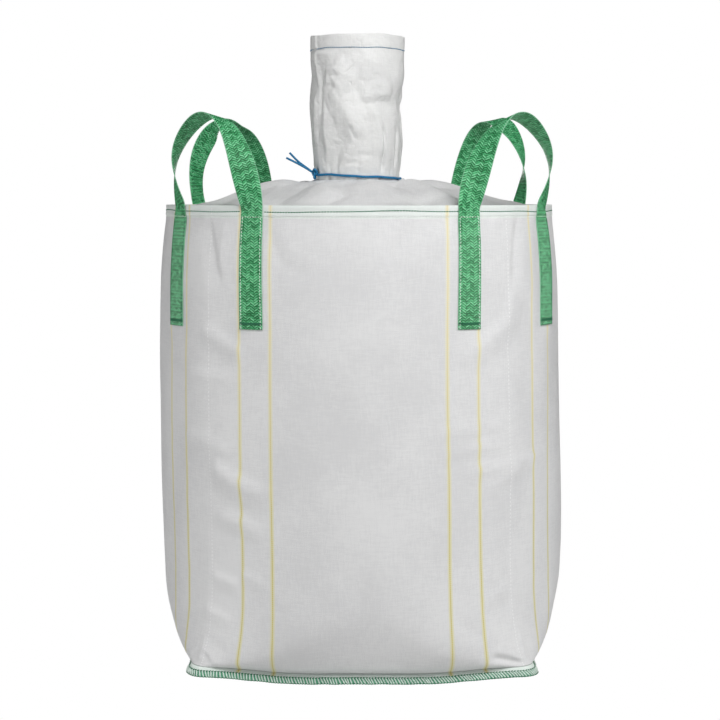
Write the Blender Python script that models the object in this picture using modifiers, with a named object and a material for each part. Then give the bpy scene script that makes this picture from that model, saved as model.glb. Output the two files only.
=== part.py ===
"""A circular bulk bag: a round tube of woven cloth on a square base, with four lifting loops and a spout.

The bag stands on the floor with its front to -Y. The origin is under the middle of its base.
Lengths are metres and +Z is up.
"""
import math

import bmesh
import bpy
import numpy as np
from mathutils import Vector

# Driving dimensions
CLOTH = 0.003                  # wall of the body, the panels and the spout
GAP = 0.0003                   # between pieces that are sewn or tied together
SEGMENTS = 72                  # sides of the round sections
RIM_HEIGHT = 1.268             # top edge of the hem
HEM_WIDTH = 0.028
BASE_HALF_SIDE = 0.457         # the base is a square of about 0.90 m, and the tube is 3.60 m round
BASE_CORNER_RADIUS = 0.050
BASE_SIDE_BULGE = 0.012        # the middle of a side of the base swells out
SEAM_HEIGHT = 0.023            # the base seam's allowance stands down like a skirt
SEAM_FLARE = 0.017
CORNER_LIFT = 0.022            # the four corners of the base lift off the floor
ROUND_HEIGHT = 0.40            # above this the tube is round
SPOUT_TOP = 1.741
SPOUT_FOOT = 1.300
SPOUT_SHIFT = -0.006           # the spout leans to -X
HOLE_HEIGHT = 1.335            # where the top panel meets the spout
TIE_HEIGHT = 1.3475
TIE_DROP = 0.011               # the tie runs down by this to +X
TIE_CORD = 0.006
STRAP_WIDTH = 0.068
STRAP_THICKNESS = 0.0025
STRAP_FOOT = 0.943             # lower end of a sewn leg

# The tube's outer radius at each height, from the round part up to the rim
TUBE_PROFILE = [(0.40, 0.5745), (0.524, 0.5750), (0.700, 0.5730), (0.943, 0.5685), (1.080, 0.5635),
                (1.167, 0.5560), (1.240, 0.5475), (RIM_HEIGHT, 0.5460)]
# Each ring between the seam and the round part: its place on the way up, and how round it is there
ROUNDING = [(0.0, 0.0), (0.04, 0.19), (0.12, 0.43), (0.25, 0.67), (0.42, 0.87), (0.68, 0.965)]
# The top panel's upper face from the hem to the hole, as radius and height
PANEL_PROFILE = [(0.5300, 1.2600), (0.4200, 1.2700), (0.3400, 1.2960), (0.2640, 1.3160), (0.1900, 1.3290),
                 (0.1400, 1.3340)]
# The spout's outer face from its top down, as radius and height
SPOUT_PROFILE = [(0.1335, SPOUT_TOP), (0.1325, 1.640), (0.1290, 1.545), (0.1275, 1.435), (0.1240, 1.375),
                 (0.1215, 1.356), (0.1215, SPOUT_FOOT)]
# Each loop: the direction of its inner and its side leg in degrees from +X, the arch's height above the
# rim, how far it leans out for each metre of height, how far the arch swells past its side leg, and how
# many degrees its side half is turned outwards (0 where the strap turns evenly over the whole arch)
LOOPS = {"front_left": (239.7, 208.3, 0.240, 0.20, 0.020, 0.0),
         "front_right": (301.3, 334.8, 0.240, 0.14, 0.030, 0.0),
         "rear_left": (122.8, 151.3, 0.262, 0.10, 0.020, 85.0),
         "rear_right": (55.9, 28.7, 0.262, 0.20, 0.0, 0.0)}
# The free ends of the tie, from the knot outwards
UPPER_TAIL = [(-0.0085, 0.0030, 0.0040), (-0.022, 0.002, 0.014), (-0.045, 0.000, 0.031),
              (-0.070, -0.001, 0.056)]
LOWER_TAIL = [(-0.0085, -0.0036, 0.0035), (-0.022, -0.006, 0.012), (-0.047, -0.007, 0.026),
              (-0.079, -0.006, 0.042)]
KNOT_DIRECTION = 206.0         # degrees from +X, seen from the spout's axis
KNOT_RADIUS = 0.009
KNOT_RISE = 0.004              # the knot sits a little over the ring's middle

for leftover in list(bpy.data.objects):
    bpy.data.objects.remove(leftover, do_unlink=True)
bag = bpy.data.collections.new("circular_bulk_bag")
cutters = bpy.data.collections.new("cutters")
bpy.context.scene.collection.children.link(bag)
bpy.context.scene.collection.children.link(cutters)
ANGLES = np.arange(SEGMENTS) * 2.0 * math.pi / SEGMENTS


def finish(name, colour, roughness):
    """A plain matt finish of one colour."""
    material = bpy.data.materials.new(name)
    material.use_nodes = True
    shader = material.node_tree.nodes["Principled BSDF"]
    shader.inputs["Base Color"].default_value = (*colour, 1.0)
    shader.inputs["Roughness"].default_value = roughness
    shader.inputs["Metallic"].default_value = 0.0
    return material


def place(obj, material):
    """Give an object its finish, smooth shading with sharp folds, and its collection."""
    obj.data.materials.clear()
    obj.data.materials.append(material)
    for other in list(obj.users_collection):
        other.objects.unlink(obj)
    bag.objects.link(obj)
    if obj.type == "MESH":
        obj.data.shade_smooth()
        obj.data.set_sharp_from_angle(angle=math.radians(40))
    return obj


def loft(name, rings, close_start=False, close_end=False):
    """A surface through rings of the same number of points, with faces only between neighbours."""
    rings = np.asarray(rings)
    count, around = rings.shape[:2]
    faces = []
    for row in range(count - 1):
        for step in range(around):
            after = (step + 1) % around
            faces.append((row * around + step, row * around + after,
                          (row + 1) * around + after, (row + 1) * around + step))
    if close_start:
        faces.append(tuple(reversed(range(around))))
    if close_end:
        faces.append(tuple(range((count - 1) * around, count * around)))
    mesh = bpy.data.meshes.new(name)
    mesh.from_pydata(rings.reshape(-1, 3).tolist(), [], faces)
    mesh.update()
    return bpy.data.objects.new(name, mesh)


def thicken(obj):
    """Turn a surface into cloth: its thickness goes behind the surface's faces."""
    solid = obj.modifiers.new("cloth", "SOLIDIFY")
    solid.thickness = CLOTH
    solid.offset = -1.0
    solid.use_even_offset = True
    return obj


def ring(radius, height, shift=0.0):
    """Points round the Z axis; radius and height are numbers or one value for each direction."""
    radius = np.broadcast_to(radius, ANGLES.shape)
    height = np.broadcast_to(height, ANGLES.shape)
    return np.stack([radius * np.cos(ANGLES) + shift, radius * np.sin(ANGLES), height], axis=1)


def cornerness(angles):
    """1 at the base's corners and 0 at the middles of its sides, rising fast near a corner."""
    return np.abs(np.sin(2.0 * angles)) ** 6


def rounded_square(angles, half, arc, bulge):
    """Distance from the axis to a rounded square in each direction.

    A ray meets either a straight side, swollen in its middle, or the arc that rounds the corner.
    """
    folded = np.abs((angles + math.pi / 4) % (math.pi / 2) - math.pi / 4)
    side = half / np.cos(folded)
    centre = half - arc
    along = centre * (np.cos(folded) + np.sin(folded))
    off = centre * (np.cos(folded) - np.sin(folded))
    corner = along + np.sqrt(np.maximum(arc ** 2 - off ** 2, 0.0))
    on_side = half * np.tan(folded) <= centre
    return np.where(on_side, side, corner) + bulge * np.cos(2.0 * folded) ** 2


def base_outline(angles, inset=0.0):
    """The outline of the base, or one inside it."""
    arc = max(BASE_CORNER_RADIUS - inset, 0.01)
    return rounded_square(angles, BASE_HALF_SIDE - inset, arc, BASE_SIDE_BULGE)


def seam_level(angles):
    """Height of the base seam: it lifts towards the corners."""
    return SEAM_HEIGHT + CORNER_LIFT * cornerness(angles)


def make_body(material):
    """The tube: its seam allowance, the rounding above the base, and the round wall up to the rim.

    The cloth keeps its length round the tube, so as the corners grow rounder the sides swell out.
    """
    level = seam_level(ANGLES)
    first_radius, first_height = TUBE_PROFILE[0][1], ROUND_HEIGHT
    underside = CLOTH * math.sin(math.atan2(SEAM_FLARE, SEAM_HEIGHT))
    rings = [ring(base_outline(ANGLES, -SEAM_FLARE), level - SEAM_HEIGHT + underside)]
    for share, roundness in ROUNDING:
        half = BASE_HALF_SIDE + (first_radius - BASE_HALF_SIDE) * roundness
        arc = BASE_CORNER_RADIUS + (first_radius - BASE_CORNER_RADIUS) * roundness
        radius = rounded_square(ANGLES, half, arc, BASE_SIDE_BULGE * (1.0 - roundness))
        rings.append(ring(radius, level + (first_height - level) * share))
    for height, radius in TUBE_PROFILE:
        rings.append(ring(radius, height))
    place(thicken(loft("body_fabric", rings)), material)


def make_top_panel(material):
    """The top panel: a strip sewn inside the hem, and a low cone up to the hole for the spout."""
    inside = CLOTH + 2.0 * GAP
    strip = [(tube_radius(RIM_HEIGHT - HEM_WIDTH) - inside, RIM_HEIGHT - HEM_WIDTH),
             (tube_radius(1.252) - inside, 1.252)]
    hole = SPOUT_PROFILE[-1][0] + 2.0 * GAP
    profile = strip + PANEL_PROFILE + [(hole, HOLE_HEIGHT)]
    outer = profile[0][0]
    rings = [ring(radius, height, SPOUT_SHIFT * (outer - radius) / (outer - hole))
             for radius, height in profile]
    place(thicken(loft("top_panel", rings)), material)


def make_bottom_panel(material):
    """The base: flat on the floor, rising to a ridge at its edge and turned down inside the tube's seam."""
    edge = CLOTH + 2.0 * GAP
    level = seam_level(ANGLES)
    lift = level - SEAM_HEIGHT
    # inset from the seam's outline, height above the floor, share of the corners' lift
    profile = [(edge - SEAM_FLARE * 0.85, 0.0030, 1.0), (edge + 0.0022, SEAM_HEIGHT - 0.0050, 1.0),
               (edge + 0.0055, SEAM_HEIGHT - 0.0020, 1.0), (edge + 0.0100, SEAM_HEIGHT - 0.0050, 1.0),
               (0.030, 0.0110, 0.9), (0.050, 0.0045, 0.7), (0.085, CLOTH, 0.35), (0.170, CLOTH, 0.0)]
    rings = [ring(base_outline(ANGLES, inset), height + share * lift) for inset, height, share in profile]
    place(thicken(loft("bottom_panel", rings, close_end=True)), material)


def make_spout(material):
    """The spout: a turned profile, open at both ends."""
    mesh = bpy.data.meshes.new("filling_spout")
    points = [(radius, 0.0, height) for radius, height in SPOUT_PROFILE]
    mesh.from_pydata(points, [(index, index + 1) for index in range(len(points) - 1)], [])
    spout = bpy.data.objects.new("filling_spout", mesh)
    spout.location.x = SPOUT_SHIFT
    turn = spout.modifiers.new("turn", "SCREW")
    turn.steps = turn.render_steps = 48
    turn.use_merge_vertices = True
    turn.merge_threshold = 0.0001
    turn.use_smooth_shade = True
    place(thicken(spout), material)


def tube_radius(height):
    """The tube's outer radius at a height in its round part."""
    heights = [point[0] for point in TUBE_PROFILE]
    radii = [point[1] for point in TUBE_PROFILE]
    return float(np.interp(height, heights, radii))


def outward(degrees):
    """The level direction away from the axis."""
    return np.array([math.cos(math.radians(degrees)), math.sin(math.radians(degrees)), 0.0])


def leg_line(degrees):
    """A sewn leg's middle line and facing, from its foot up to the rim, just off the wall."""
    clear = GAP + STRAP_THICKNESS / 2.0
    heights = [height for height, radius in TUBE_PROFILE if height >= STRAP_FOOT]
    level, up = outward(degrees), np.array([0.0, 0.0, 1.0])
    points = [level * (tube_radius(height) + clear) + up * height for height in heights]
    return points, [level] * len(points)


def blend(low, high, value):
    """0 below low, 1 above high, and an even S between them."""
    share = np.clip((value - low) / (high - low), 0.0, 1.0)
    return share * share * (3.0 - 2.0 * share)


def arch_line(start, end, height, lean, swell, side_turn, steps=24):
    """The free arch between two legs: half an ellipse that leans out, and swells low on the side leg.

    The strap faces away from the bag at the legs and away from the arch at its top. It turns evenly between
    them, or its side half stays turned outwards almost up to the top.
    """
    chord = end - start
    half = np.linalg.norm(chord) / 2.0
    along = chord / (2.0 * half)
    middle = (start + end) / 2.0
    out = np.array([middle[0], middle[1], 0.0]) / math.hypot(middle[0], middle[1])
    upward = np.sign(np.cross(along, out)[2])
    turn = np.linspace(0.0, math.pi, steps + 1)[1:-1]
    low = np.where(turn > math.pi / 2.0, -np.sin(2.0 * turn) * np.cos(turn) ** 2, 0.0)
    across = -half * np.cos(turn) + swell * low
    rise = height * np.sin(turn)
    points = middle + np.outer(across, along) + np.outer(rise, [0.0, 0.0, 1.0]) + np.outer(rise * lean, out)
    path = np.vstack([start, points, end])
    tangents = np.gradient(path, axis=0)[1:-1]
    tangents /= np.linalg.norm(tangents, axis=1)[:, None]
    lengths = np.concatenate([[0.0], np.cumsum(np.linalg.norm(np.diff(path, axis=0), axis=1))])
    from_top = 2.0 * lengths[1:-1] / lengths[-1] - 1.0
    turned = np.abs(from_top) * (math.pi / 2.0 - math.asin(half / math.hypot(middle[0], middle[1])))
    if side_turn:
        held = blend(0.0, 0.4, from_top) * (1.0 - blend(0.5, 1.0, from_top))
        turned += held * (math.radians(side_turn) - turned)
    facings = []
    for tangent, angle in zip(tangents, turned):
        side = np.cross(tangent, out)
        side /= np.linalg.norm(side)
        away = np.cross(side, tangent)
        facings.append(math.cos(angle) * upward * side + math.sin(angle) * away)
    return list(points), facings


def make_loop(name, legs, material):
    """One lifting loop: a strap up one leg, over the arch and down the other leg."""
    first, second, *shape = legs
    up_points, up_facings = leg_line(first)
    down_points, down_facings = leg_line(second)
    arch_points, arch_facings = arch_line(up_points[-1], down_points[-1], *shape)
    points = np.array(up_points + arch_points + down_points[::-1])
    facings = np.array(up_facings + arch_facings + down_facings[::-1])
    tangents = np.gradient(points, axis=0)
    tangents[:len(up_points)] = [0.0, 0.0, 1.0]
    tangents[-len(down_points):] = [0.0, 0.0, -1.0]
    widths = np.cross(facings, tangents)
    widths *= STRAP_WIDTH / 2.0 / np.linalg.norm(widths, axis=1)[:, None]
    depths = facings * STRAP_THICKNESS / 2.0
    left, right = points + widths, points - widths
    rings = np.stack([left + depths, right + depths, right - depths, left - depths], axis=1)
    strap = loft("lift_loop_" + name, rings, close_start=True, close_end=True)
    box = bmesh.new()
    box.from_mesh(strap.data)
    # A twisted strap's front and back are cut along the same diagonal, so that it stays evenly thick
    backs = [face for face in box.faces if face.index % 4 == 2]
    bmesh.ops.triangulate(box, faces=backs, quad_method="ALTERNATE")
    bmesh.ops.triangulate(box, faces=box.faces, quad_method="FIXED")
    bmesh.ops.recalc_face_normals(box, faces=box.faces)
    box.to_mesh(strap.data)
    box.free()
    place(strap, material)


def knot_centre():
    """Middle of the knot, just off the spout's wall."""
    reach = SPOUT_PROFILE[-1][0] + 2.0 * GAP + KNOT_RADIUS
    direction = outward(KNOT_DIRECTION)
    slope = -TIE_DROP / (2.0 * SPOUT_PROFILE[-1][0])
    height = TIE_HEIGHT + slope * reach * direction[0] + KNOT_RISE
    return Vector((SPOUT_SHIFT + reach * direction[0], reach * direction[1], height))


def make_tie(material):
    """The tie: a ring of cord round the spout's foot and the knot that closes it."""
    tilt = math.atan2(TIE_DROP, 2.0 * SPOUT_PROFILE[-1][0])
    bpy.ops.mesh.primitive_torus_add(major_radius=SPOUT_PROFILE[-1][0] + GAP * 2.0 + TIE_CORD / 2.0,
                                     minor_radius=TIE_CORD / 2.0, major_segments=48, minor_segments=8,
                                     location=(SPOUT_SHIFT, 0.0, TIE_HEIGHT), rotation=(0.0, tilt, 0.0))
    tie = bpy.context.object
    tie.name = "tie_cord"
    tie.data.name = "tie_cord"
    bpy.ops.mesh.primitive_uv_sphere_add(segments=14, ring_count=8, radius=KNOT_RADIUS,
                                         location=knot_centre())
    knot = bpy.context.object
    knot.name = "knot"
    for other in list(knot.users_collection):
        other.objects.unlink(knot)
    cutters.objects.link(knot)
    knot.hide_render = True
    knot.display_type = "WIRE"
    join = tie.modifiers.new("knot", "BOOLEAN")
    join.operation = "UNION"
    join.solver = "EXACT"
    join.object = knot
    place(tie, material)


def smooth_route(route, spacing):
    """Points at even steps along a smooth curve through a route's own points."""
    route = np.array(route)
    padded = np.vstack([2.0 * route[0] - route[1], route, 2.0 * route[-1] - route[-2]])
    curve = []
    for index in range(len(route) - 1):
        before, start, end, after = padded[index:index + 4]
        share = np.linspace(0.0, 1.0, 12, endpoint=False)[:, None]
        curve.append(0.5 * (2.0 * start + (end - before) * share
                            + (2.0 * before - 5.0 * start + 4.0 * end - after) * share ** 2
                            + (3.0 * start - before - 3.0 * end + after) * share ** 3))
    curve = np.vstack(curve + [route[-1:]])
    lengths = np.concatenate([[0.0], np.cumsum(np.linalg.norm(np.diff(curve, axis=0), axis=1))])
    even = np.linspace(0.0, lengths[-1], max(3, round(lengths[-1] / spacing) + 1))
    return np.stack([np.interp(even, lengths, curve[:, axis]) for axis in range(3)], axis=1)


def make_tail(name, route, material):
    """A free end of the tie, with the route given from the middle of the knot."""
    centre = np.array(knot_centre())
    points = smooth_route([centre + np.array(point) for point in route], 2.5 * TIE_CORD)
    curve = bpy.data.curves.new(name, "CURVE")
    curve.dimensions = "3D"
    curve.bevel_depth = TIE_CORD / 2.0
    curve.bevel_resolution = 2
    curve.use_fill_caps = True
    spline = curve.splines.new("POLY")
    spline.points.add(len(points) - 1)
    for target, point in zip(spline.points, points):
        target.co = (*point, 1.0)
    place(bpy.data.objects.new(name, curve), material)


white_cloth = finish("woven_white", (0.62, 0.62, 0.61), 0.62)
spout_cloth = finish("spout_white", (0.66, 0.66, 0.65), 0.55)
green_webbing = finish("webbing_green", (0.05, 0.30, 0.12), 0.70)
blue_cord = finish("cord_blue", (0.02, 0.16, 0.36), 0.60)

make_body(white_cloth)
make_top_panel(white_cloth)
make_bottom_panel(white_cloth)
make_spout(spout_cloth)
make_tie(blue_cord)
make_tail("tie_tail_upper", UPPER_TAIL, blue_cord)
make_tail("tie_tail_lower", LOWER_TAIL, blue_cord)
for loop_name, loop_legs in LOOPS.items():
    make_loop(loop_name, loop_legs, green_webbing)
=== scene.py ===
# %% [markdown]
# # A round bulk bag, dressed
# The bag is a tube of white woven tape cloth, 3.60 m round, sewn to a square base. It has a sewn-in top with
# a tied filling spout, and four green webbing loops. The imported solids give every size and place. This file
# lays the cloth, the webbing, the cord and the threads over them, one step in each cell.

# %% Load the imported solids
import math

import bpy
import numpy as np
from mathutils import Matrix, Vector


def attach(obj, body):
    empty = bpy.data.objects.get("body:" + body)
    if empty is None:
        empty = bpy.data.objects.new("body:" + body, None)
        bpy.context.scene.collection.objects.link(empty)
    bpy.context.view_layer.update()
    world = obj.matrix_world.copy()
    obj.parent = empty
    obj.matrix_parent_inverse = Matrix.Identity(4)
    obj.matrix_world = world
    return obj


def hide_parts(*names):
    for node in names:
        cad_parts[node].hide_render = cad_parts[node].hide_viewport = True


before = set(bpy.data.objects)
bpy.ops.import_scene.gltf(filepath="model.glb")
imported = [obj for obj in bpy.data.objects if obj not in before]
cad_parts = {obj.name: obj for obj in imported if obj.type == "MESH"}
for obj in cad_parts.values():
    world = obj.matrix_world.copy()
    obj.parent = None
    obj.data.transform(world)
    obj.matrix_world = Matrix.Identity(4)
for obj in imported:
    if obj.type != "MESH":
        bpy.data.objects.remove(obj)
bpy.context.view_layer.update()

# %% [markdown]
# ## Camera
# The photograph is taken from about 4.9 m away at the height of the rim, looking down by five degrees, with a
# lens long enough to keep the bag's sides nearly upright. A short lens would splay them.

# %% Camera
camera_data = bpy.data.cameras.new("studio_camera")
camera_data.lens = 85.37
camera_data.sensor_width = 36.0
camera = bpy.data.objects.new("studio_camera", camera_data)
camera.location = (0.0, -4.9, 1.290)
camera.rotation_euler = (math.radians(90.0 - 5.46), 0.0, 0.0)
bpy.context.scene.collection.objects.link(camera)
bpy.context.scene.camera = camera
print("camera at", tuple(round(x, 2) for x in camera.location), "lens", round(camera_data.lens, 1))

# %% [markdown]
# ## Helpers for surfaces
# Cloth is a sheet, so each piece is a grid of points worked out with numpy: rows run one way over the cloth
# and columns the other. Drawing faces by hand would be slower, and a sculpted mesh would not keep its sizes.
# Each surface keeps a map in metres of cloth, so that the weave has the same scale all over it.

# %% Surface helpers
collection = bpy.data.collections.new("dressed_bag")
bpy.context.scene.collection.children.link(collection)


def smoothstep(low, high, value):
    """0 below low, 1 above high, and an even S between them."""
    share = np.clip((value - low) / (high - low), 0.0, 1.0)
    return share * share * (3.0 - 2.0 * share)


def bell(value, middle, width):
    """A bell of height one about a middle value."""
    return np.exp(-((value - middle) / width) ** 2)


def full_turn(count):
    """Even directions all the way round."""
    return np.arange(count) * 2.0 * math.pi / count


def on_circle(angles, radius, height, aside=0.0):
    """Points at a radius and a height round the upright axis, moved aside by a distance."""
    return np.stack(np.broadcast_arrays(radius * np.cos(angles) + aside, radius * np.sin(angles), height),
                    axis=-1)


def smooth_curve(knots, at):
    """A smooth curve through (place, value) knots: cubic pieces with mean slopes at the knots."""
    place, value = np.array(knots, dtype=float).T
    if place[0] > place[-1]:
        place, value = place[::-1], value[::-1]
    slope = np.gradient(value, place)
    index = np.clip(np.searchsorted(place, at) - 1, 0, len(place) - 2)
    width = place[index + 1] - place[index]
    share = np.clip((at - place[index]) / width, 0.0, 1.0)
    rest = 1.0 - share
    before = value[index] * rest ** 2 * (1.0 + 2.0 * share)
    after = value[index + 1] * share ** 2 * (3.0 - 2.0 * share)
    return before + after + width * (slope[index] * share * rest ** 2 - slope[index + 1] * share ** 2 * rest)


def path_length(points):
    """Distance along a line of points, from its first."""
    return np.concatenate([[0.0], np.cumsum(np.linalg.norm(np.diff(points, axis=0), axis=1))])


def at_lengths(points, lengths, even):
    """Places on a line of points, at given distances along it."""
    return np.stack([np.interp(even, lengths, points[:, axis]) for axis in range(3)], axis=1)


def unit(vectors):
    """Vectors of length one."""
    return vectors / np.maximum(np.linalg.norm(vectors, axis=-1, keepdims=True), 1e-12)


def make_mesh(name, points, faces, cloth_map):
    """A mesh object from points, faces and the cloth map of each face corner."""
    mesh = bpy.data.meshes.new(name)
    mesh.from_pydata(points, [], faces)
    layer = mesh.uv_layers.new(name="cloth")
    layer.data.foreach_set("uv", np.asarray(cloth_map, dtype=np.float32).ravel())
    mesh.polygons.foreach_set("use_smooth", np.ones(len(mesh.polygons), dtype=bool))
    mesh.update()
    piece = bpy.data.objects.new(name, mesh)
    collection.objects.link(piece)
    return piece


def grid_surface(name, points, across, along, wrap=False, wrap_rows=False, inside_out=False):
    """A surface through rows x columns of points; across and along are the cloth map at each point.

    A wrapped grid joins its last column to its first, and its map then has one more column.
    """
    rows, columns = points.shape[:2]
    row, column = np.meshgrid(np.arange(rows if wrap_rows else rows - 1),
                              np.arange(columns if wrap else columns - 1), indexing="ij")
    corners = [(row, column), (row, column + 1), (row + 1, column + 1), (row + 1, column)]
    if inside_out:
        corners.reverse()
    faces = np.stack([(r % rows) * columns + c % columns for r, c in corners], axis=-1).reshape(-1, 4)
    shape = (rows + wrap_rows, columns + wrap)
    across, along = np.broadcast_to(across, shape), np.broadcast_to(along, shape)
    cloth_map = np.stack([np.stack([across[r, c], along[r, c]], axis=-1) for r, c in corners], axis=2)
    return make_mesh(name, points.reshape(-1, 3), faces.tolist(), cloth_map.reshape(-1, 2))


def disc_surface(name, points):
    """A round sheet cut flat: its cloth map is its places seen from above."""
    wrapped = np.concatenate([points, points[:, :1]], axis=1)
    return grid_surface(name, points, wrapped[..., 0], wrapped[..., 1], wrap=True)


def thicken(piece, thickness):
    """Give a sheet its thickness, behind its outer face."""
    wall = piece.modifiers.new("cloth thickness", "SOLIDIFY")
    wall.thickness = thickness
    wall.offset = -1.0
    wall.use_even_offset = False


def dress(piece, material, slot, *nodes):
    """Give a piece its finish and its place on the bag, and hide the solids that it stands for."""
    piece.data.materials.append(material)
    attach(piece, "root")
    if nodes:
        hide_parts(*nodes)
    print(piece.name, len(piece.data.polygons), "faces")


# %% [markdown]
# ## Helpers for finishes
# A finish is a small graph of nodes. The weave, the webbing's twill, the twist of a thread and the soft
# unevenness of old cloth are each built once as a node group, so that every finish that uses one has it at
# its own scale. All of them read the cloth map, which is in metres and goes with the cloth round its folds.

# %% Graph helper
class Graph:
    """Short calls for adding nodes to one tree."""

    def __init__(self, tree):
        self.tree = tree

    def node(self, kind, inputs=(), **settings):
        """A node with its settings, and its inputs linked or set by name or number."""
        made = self.tree.nodes.new(kind)
        for key, value in settings.items():
            setattr(made, key, value)
        for key, value in dict(inputs).items():
            self.feed(made.inputs[key], value)
        return made

    def feed(self, socket, value):
        """Link a socket to an output, or give it a plain value."""
        if isinstance(value, bpy.types.NodeSocket):
            self.tree.links.new(value, socket)
        else:
            socket.default_value = value

    def math(self, operation, first, second=0.0, third=0.0):
        """The result of a Math node."""
        return self.node("ShaderNodeMath", {0: first, 1: second, 2: third}, operation=operation).outputs[0]

    def range(self, value, low, high, out_low=0.0, out_high=1.0, smooth=True):
        """A value's place between low and high, as a number between the two others."""
        kind = "SMOOTHSTEP" if smooth else "LINEAR"
        made = self.node("ShaderNodeMapRange", {0: value, 1: low, 2: high, 3: out_low, 4: out_high},
                         interpolation_type=kind)
        return made.outputs[0]

    def mix(self, share, first, second):
        """Two colours mixed."""
        return self.node("ShaderNodeMix", {0: share, 6: first, 7: second}, data_type="RGBA").outputs[2]

    def split(self, vector):
        """The three parts of a vector."""
        return self.node("ShaderNodeSeparateXYZ", {0: vector}).outputs

    def apart(self, first, second):
        """How far two values lie apart."""
        return self.math("ABSOLUTE", self.math("SUBTRACT", first, second))

    def vary(self, base, value, amount):
        """A base plus an amount of a value that runs from 0 to 1, counted from its middle."""
        return self.math("MULTIPLY_ADD", self.math("SUBTRACT", value, 0.5), amount, base)

    def wave(self, phase):
        """A sine of a phase in turns, from 0 to 1."""
        sine = self.math("SINE", self.math("MULTIPLY", phase, 2.0 * math.pi))
        return self.math("MULTIPLY_ADD", sine, 0.5, 0.5)

    def every(self, value, pitch):
        """A sine that comes back at each pitch of a value, from 0 to 1."""
        return self.wave(self.math("DIVIDE", value, pitch))


def new_group(name, inputs, outputs):
    """A node group with its own sockets; gives the graph, the group's inputs and its output node."""
    tree = bpy.data.node_groups.new(name, "ShaderNodeTree")
    for label, kind, value in inputs:
        socket = tree.interface.new_socket(name=label, in_out="INPUT", socket_type=kind)
        if value is not None:
            socket.default_value = value
    for label, kind in outputs:
        tree.interface.new_socket(name=label, in_out="OUTPUT", socket_type=kind)
    graph = Graph(tree)
    return graph, graph.node("NodeGroupInput").outputs, graph.node("NodeGroupOutput").inputs


FLOAT, VECTOR = "NodeSocketFloat", "NodeSocketVector"

# %% [markdown]
# ### Plain weave of flat tapes
# Bulk bag cloth is woven from flat tapes about two and a half millimetres wide. Each tape goes over one and
# under the next, so the cloth is a chequer of little domes. The height follows that: on squares of one kind
# the warp's dome shows, on the others the weft's. A tape's tone changes every few squares, because it is
# drawn plastic and never quite even. One tone for a whole tape would turn the cloth into a plaid.


# %% Weave group
def weave_group():
    """Plain weave: the height of the tape on top, and a random tone for each short length of tape."""
    graph, given, result = new_group("tape weave", [("Cloth", VECTOR, None), ("Pitch", FLOAT, 0.0025)],
                                     [("Height", FLOAT), ("Tone", FLOAT)])
    place = graph.split(given["Cloth"])
    across = graph.math("DIVIDE", place[0], given["Pitch"])
    along = graph.math("DIVIDE", place[1], given["Pitch"])
    column, row = graph.math("FLOOR", across), graph.math("FLOOR", along)
    over = graph.math("PINGPONG", graph.math("ADD", column, row), 1.0)
    x = graph.math("SUBTRACT", graph.math("FRACT", across), 0.5)
    y = graph.math("SUBTRACT", graph.math("FRACT", along), 0.5)

    def tape(side, length):
        edge = graph.math("POWER", graph.math("ABSOLUTE", graph.math("MULTIPLY", side, 2.0)), 6.0)
        dome = graph.math("COSINE", graph.math("MULTIPLY", length, 0.8 * math.pi))
        return graph.math("MULTIPLY", graph.math("SUBTRACT", 1.0, edge), dome)

    height = graph.node("ShaderNodeMix", {0: over, 2: tape(y, x), 3: tape(x, y)}).outputs[0]
    graph.feed(result["Height"], height)
    seat = graph.node("ShaderNodeMix", {0: over, 2: graph.math("ADD", row, 0.37), 3: column}).outputs[0]
    run = graph.node("ShaderNodeMix", {0: over, 2: column, 3: row}).outputs[0]
    run = graph.math("FLOOR", graph.math("DIVIDE", graph.math("MULTIPLY_ADD", seat, 3.7, run), 9.0))
    pair = graph.node("ShaderNodeCombineXYZ", {0: seat, 1: run, 2: over}).outputs[0]
    noise = graph.node("ShaderNodeTexWhiteNoise", {"Vector": pair}, noise_dimensions="3D")
    graph.feed(result["Tone"], noise.outputs["Value"])
    return graph.tree


tape_weave = weave_group()
print("group:", tape_weave.name)

# %% [markdown]
# ### Herringbone of the webbing
# The loops are heavy webbing in a herringbone twill: slanting ribs that change their slant every few
# millimetres across the strap. The phase of the ribs is the distance along plus a zigzag across. Where the
# slant changes, the ribs meet in a groove, so the strap looks divided into columns.


# %% Herringbone group
def herringbone_group():
    """Herringbone twill: the ribs' height, and a random tone for each piece of rib in its column."""
    graph, given, result = new_group("herringbone", [("Cloth", VECTOR, None), ("Rib", FLOAT, 0.0070),
                                                     ("Band", FLOAT, 0.0112)],
                                     [("Height", FLOAT), ("Tone", FLOAT)])
    place = graph.split(given["Cloth"])
    zigzag = graph.math("PINGPONG", place[0], given["Band"])
    column = graph.math("DIVIDE", place[0], given["Band"])
    # Where the slant turns round, the ribs of one column end between those of the next
    half_step = graph.math("PINGPONG", graph.math("FLOOR", column), 1.0)
    phase = graph.math("DIVIDE", graph.math("MULTIPLY_ADD", zigzag, 0.6, place[1]), given["Rib"])
    phase = graph.math("MULTIPLY_ADD", half_step, 0.5, phase)
    ribs = graph.wave(phase)
    from_groove = graph.math("SUBTRACT", 0.5, graph.apart(graph.math("FRACT", column), 0.5))
    raised = graph.range(from_groove, 0.0, 0.16, 0.62, 1.0)
    graph.feed(result["Height"], graph.math("MULTIPLY", raised, graph.math("MULTIPLY_ADD", ribs, 0.85, 0.15)))
    pair = graph.node("ShaderNodeCombineXYZ", {0: graph.math("FLOOR", column), 1: graph.math("FLOOR", phase)})
    noise = graph.node("ShaderNodeTexWhiteNoise", {"Vector": pair.outputs[0]}, noise_dimensions="2D")
    graph.feed(result["Tone"], noise.outputs["Value"])
    return graph.tree


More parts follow.
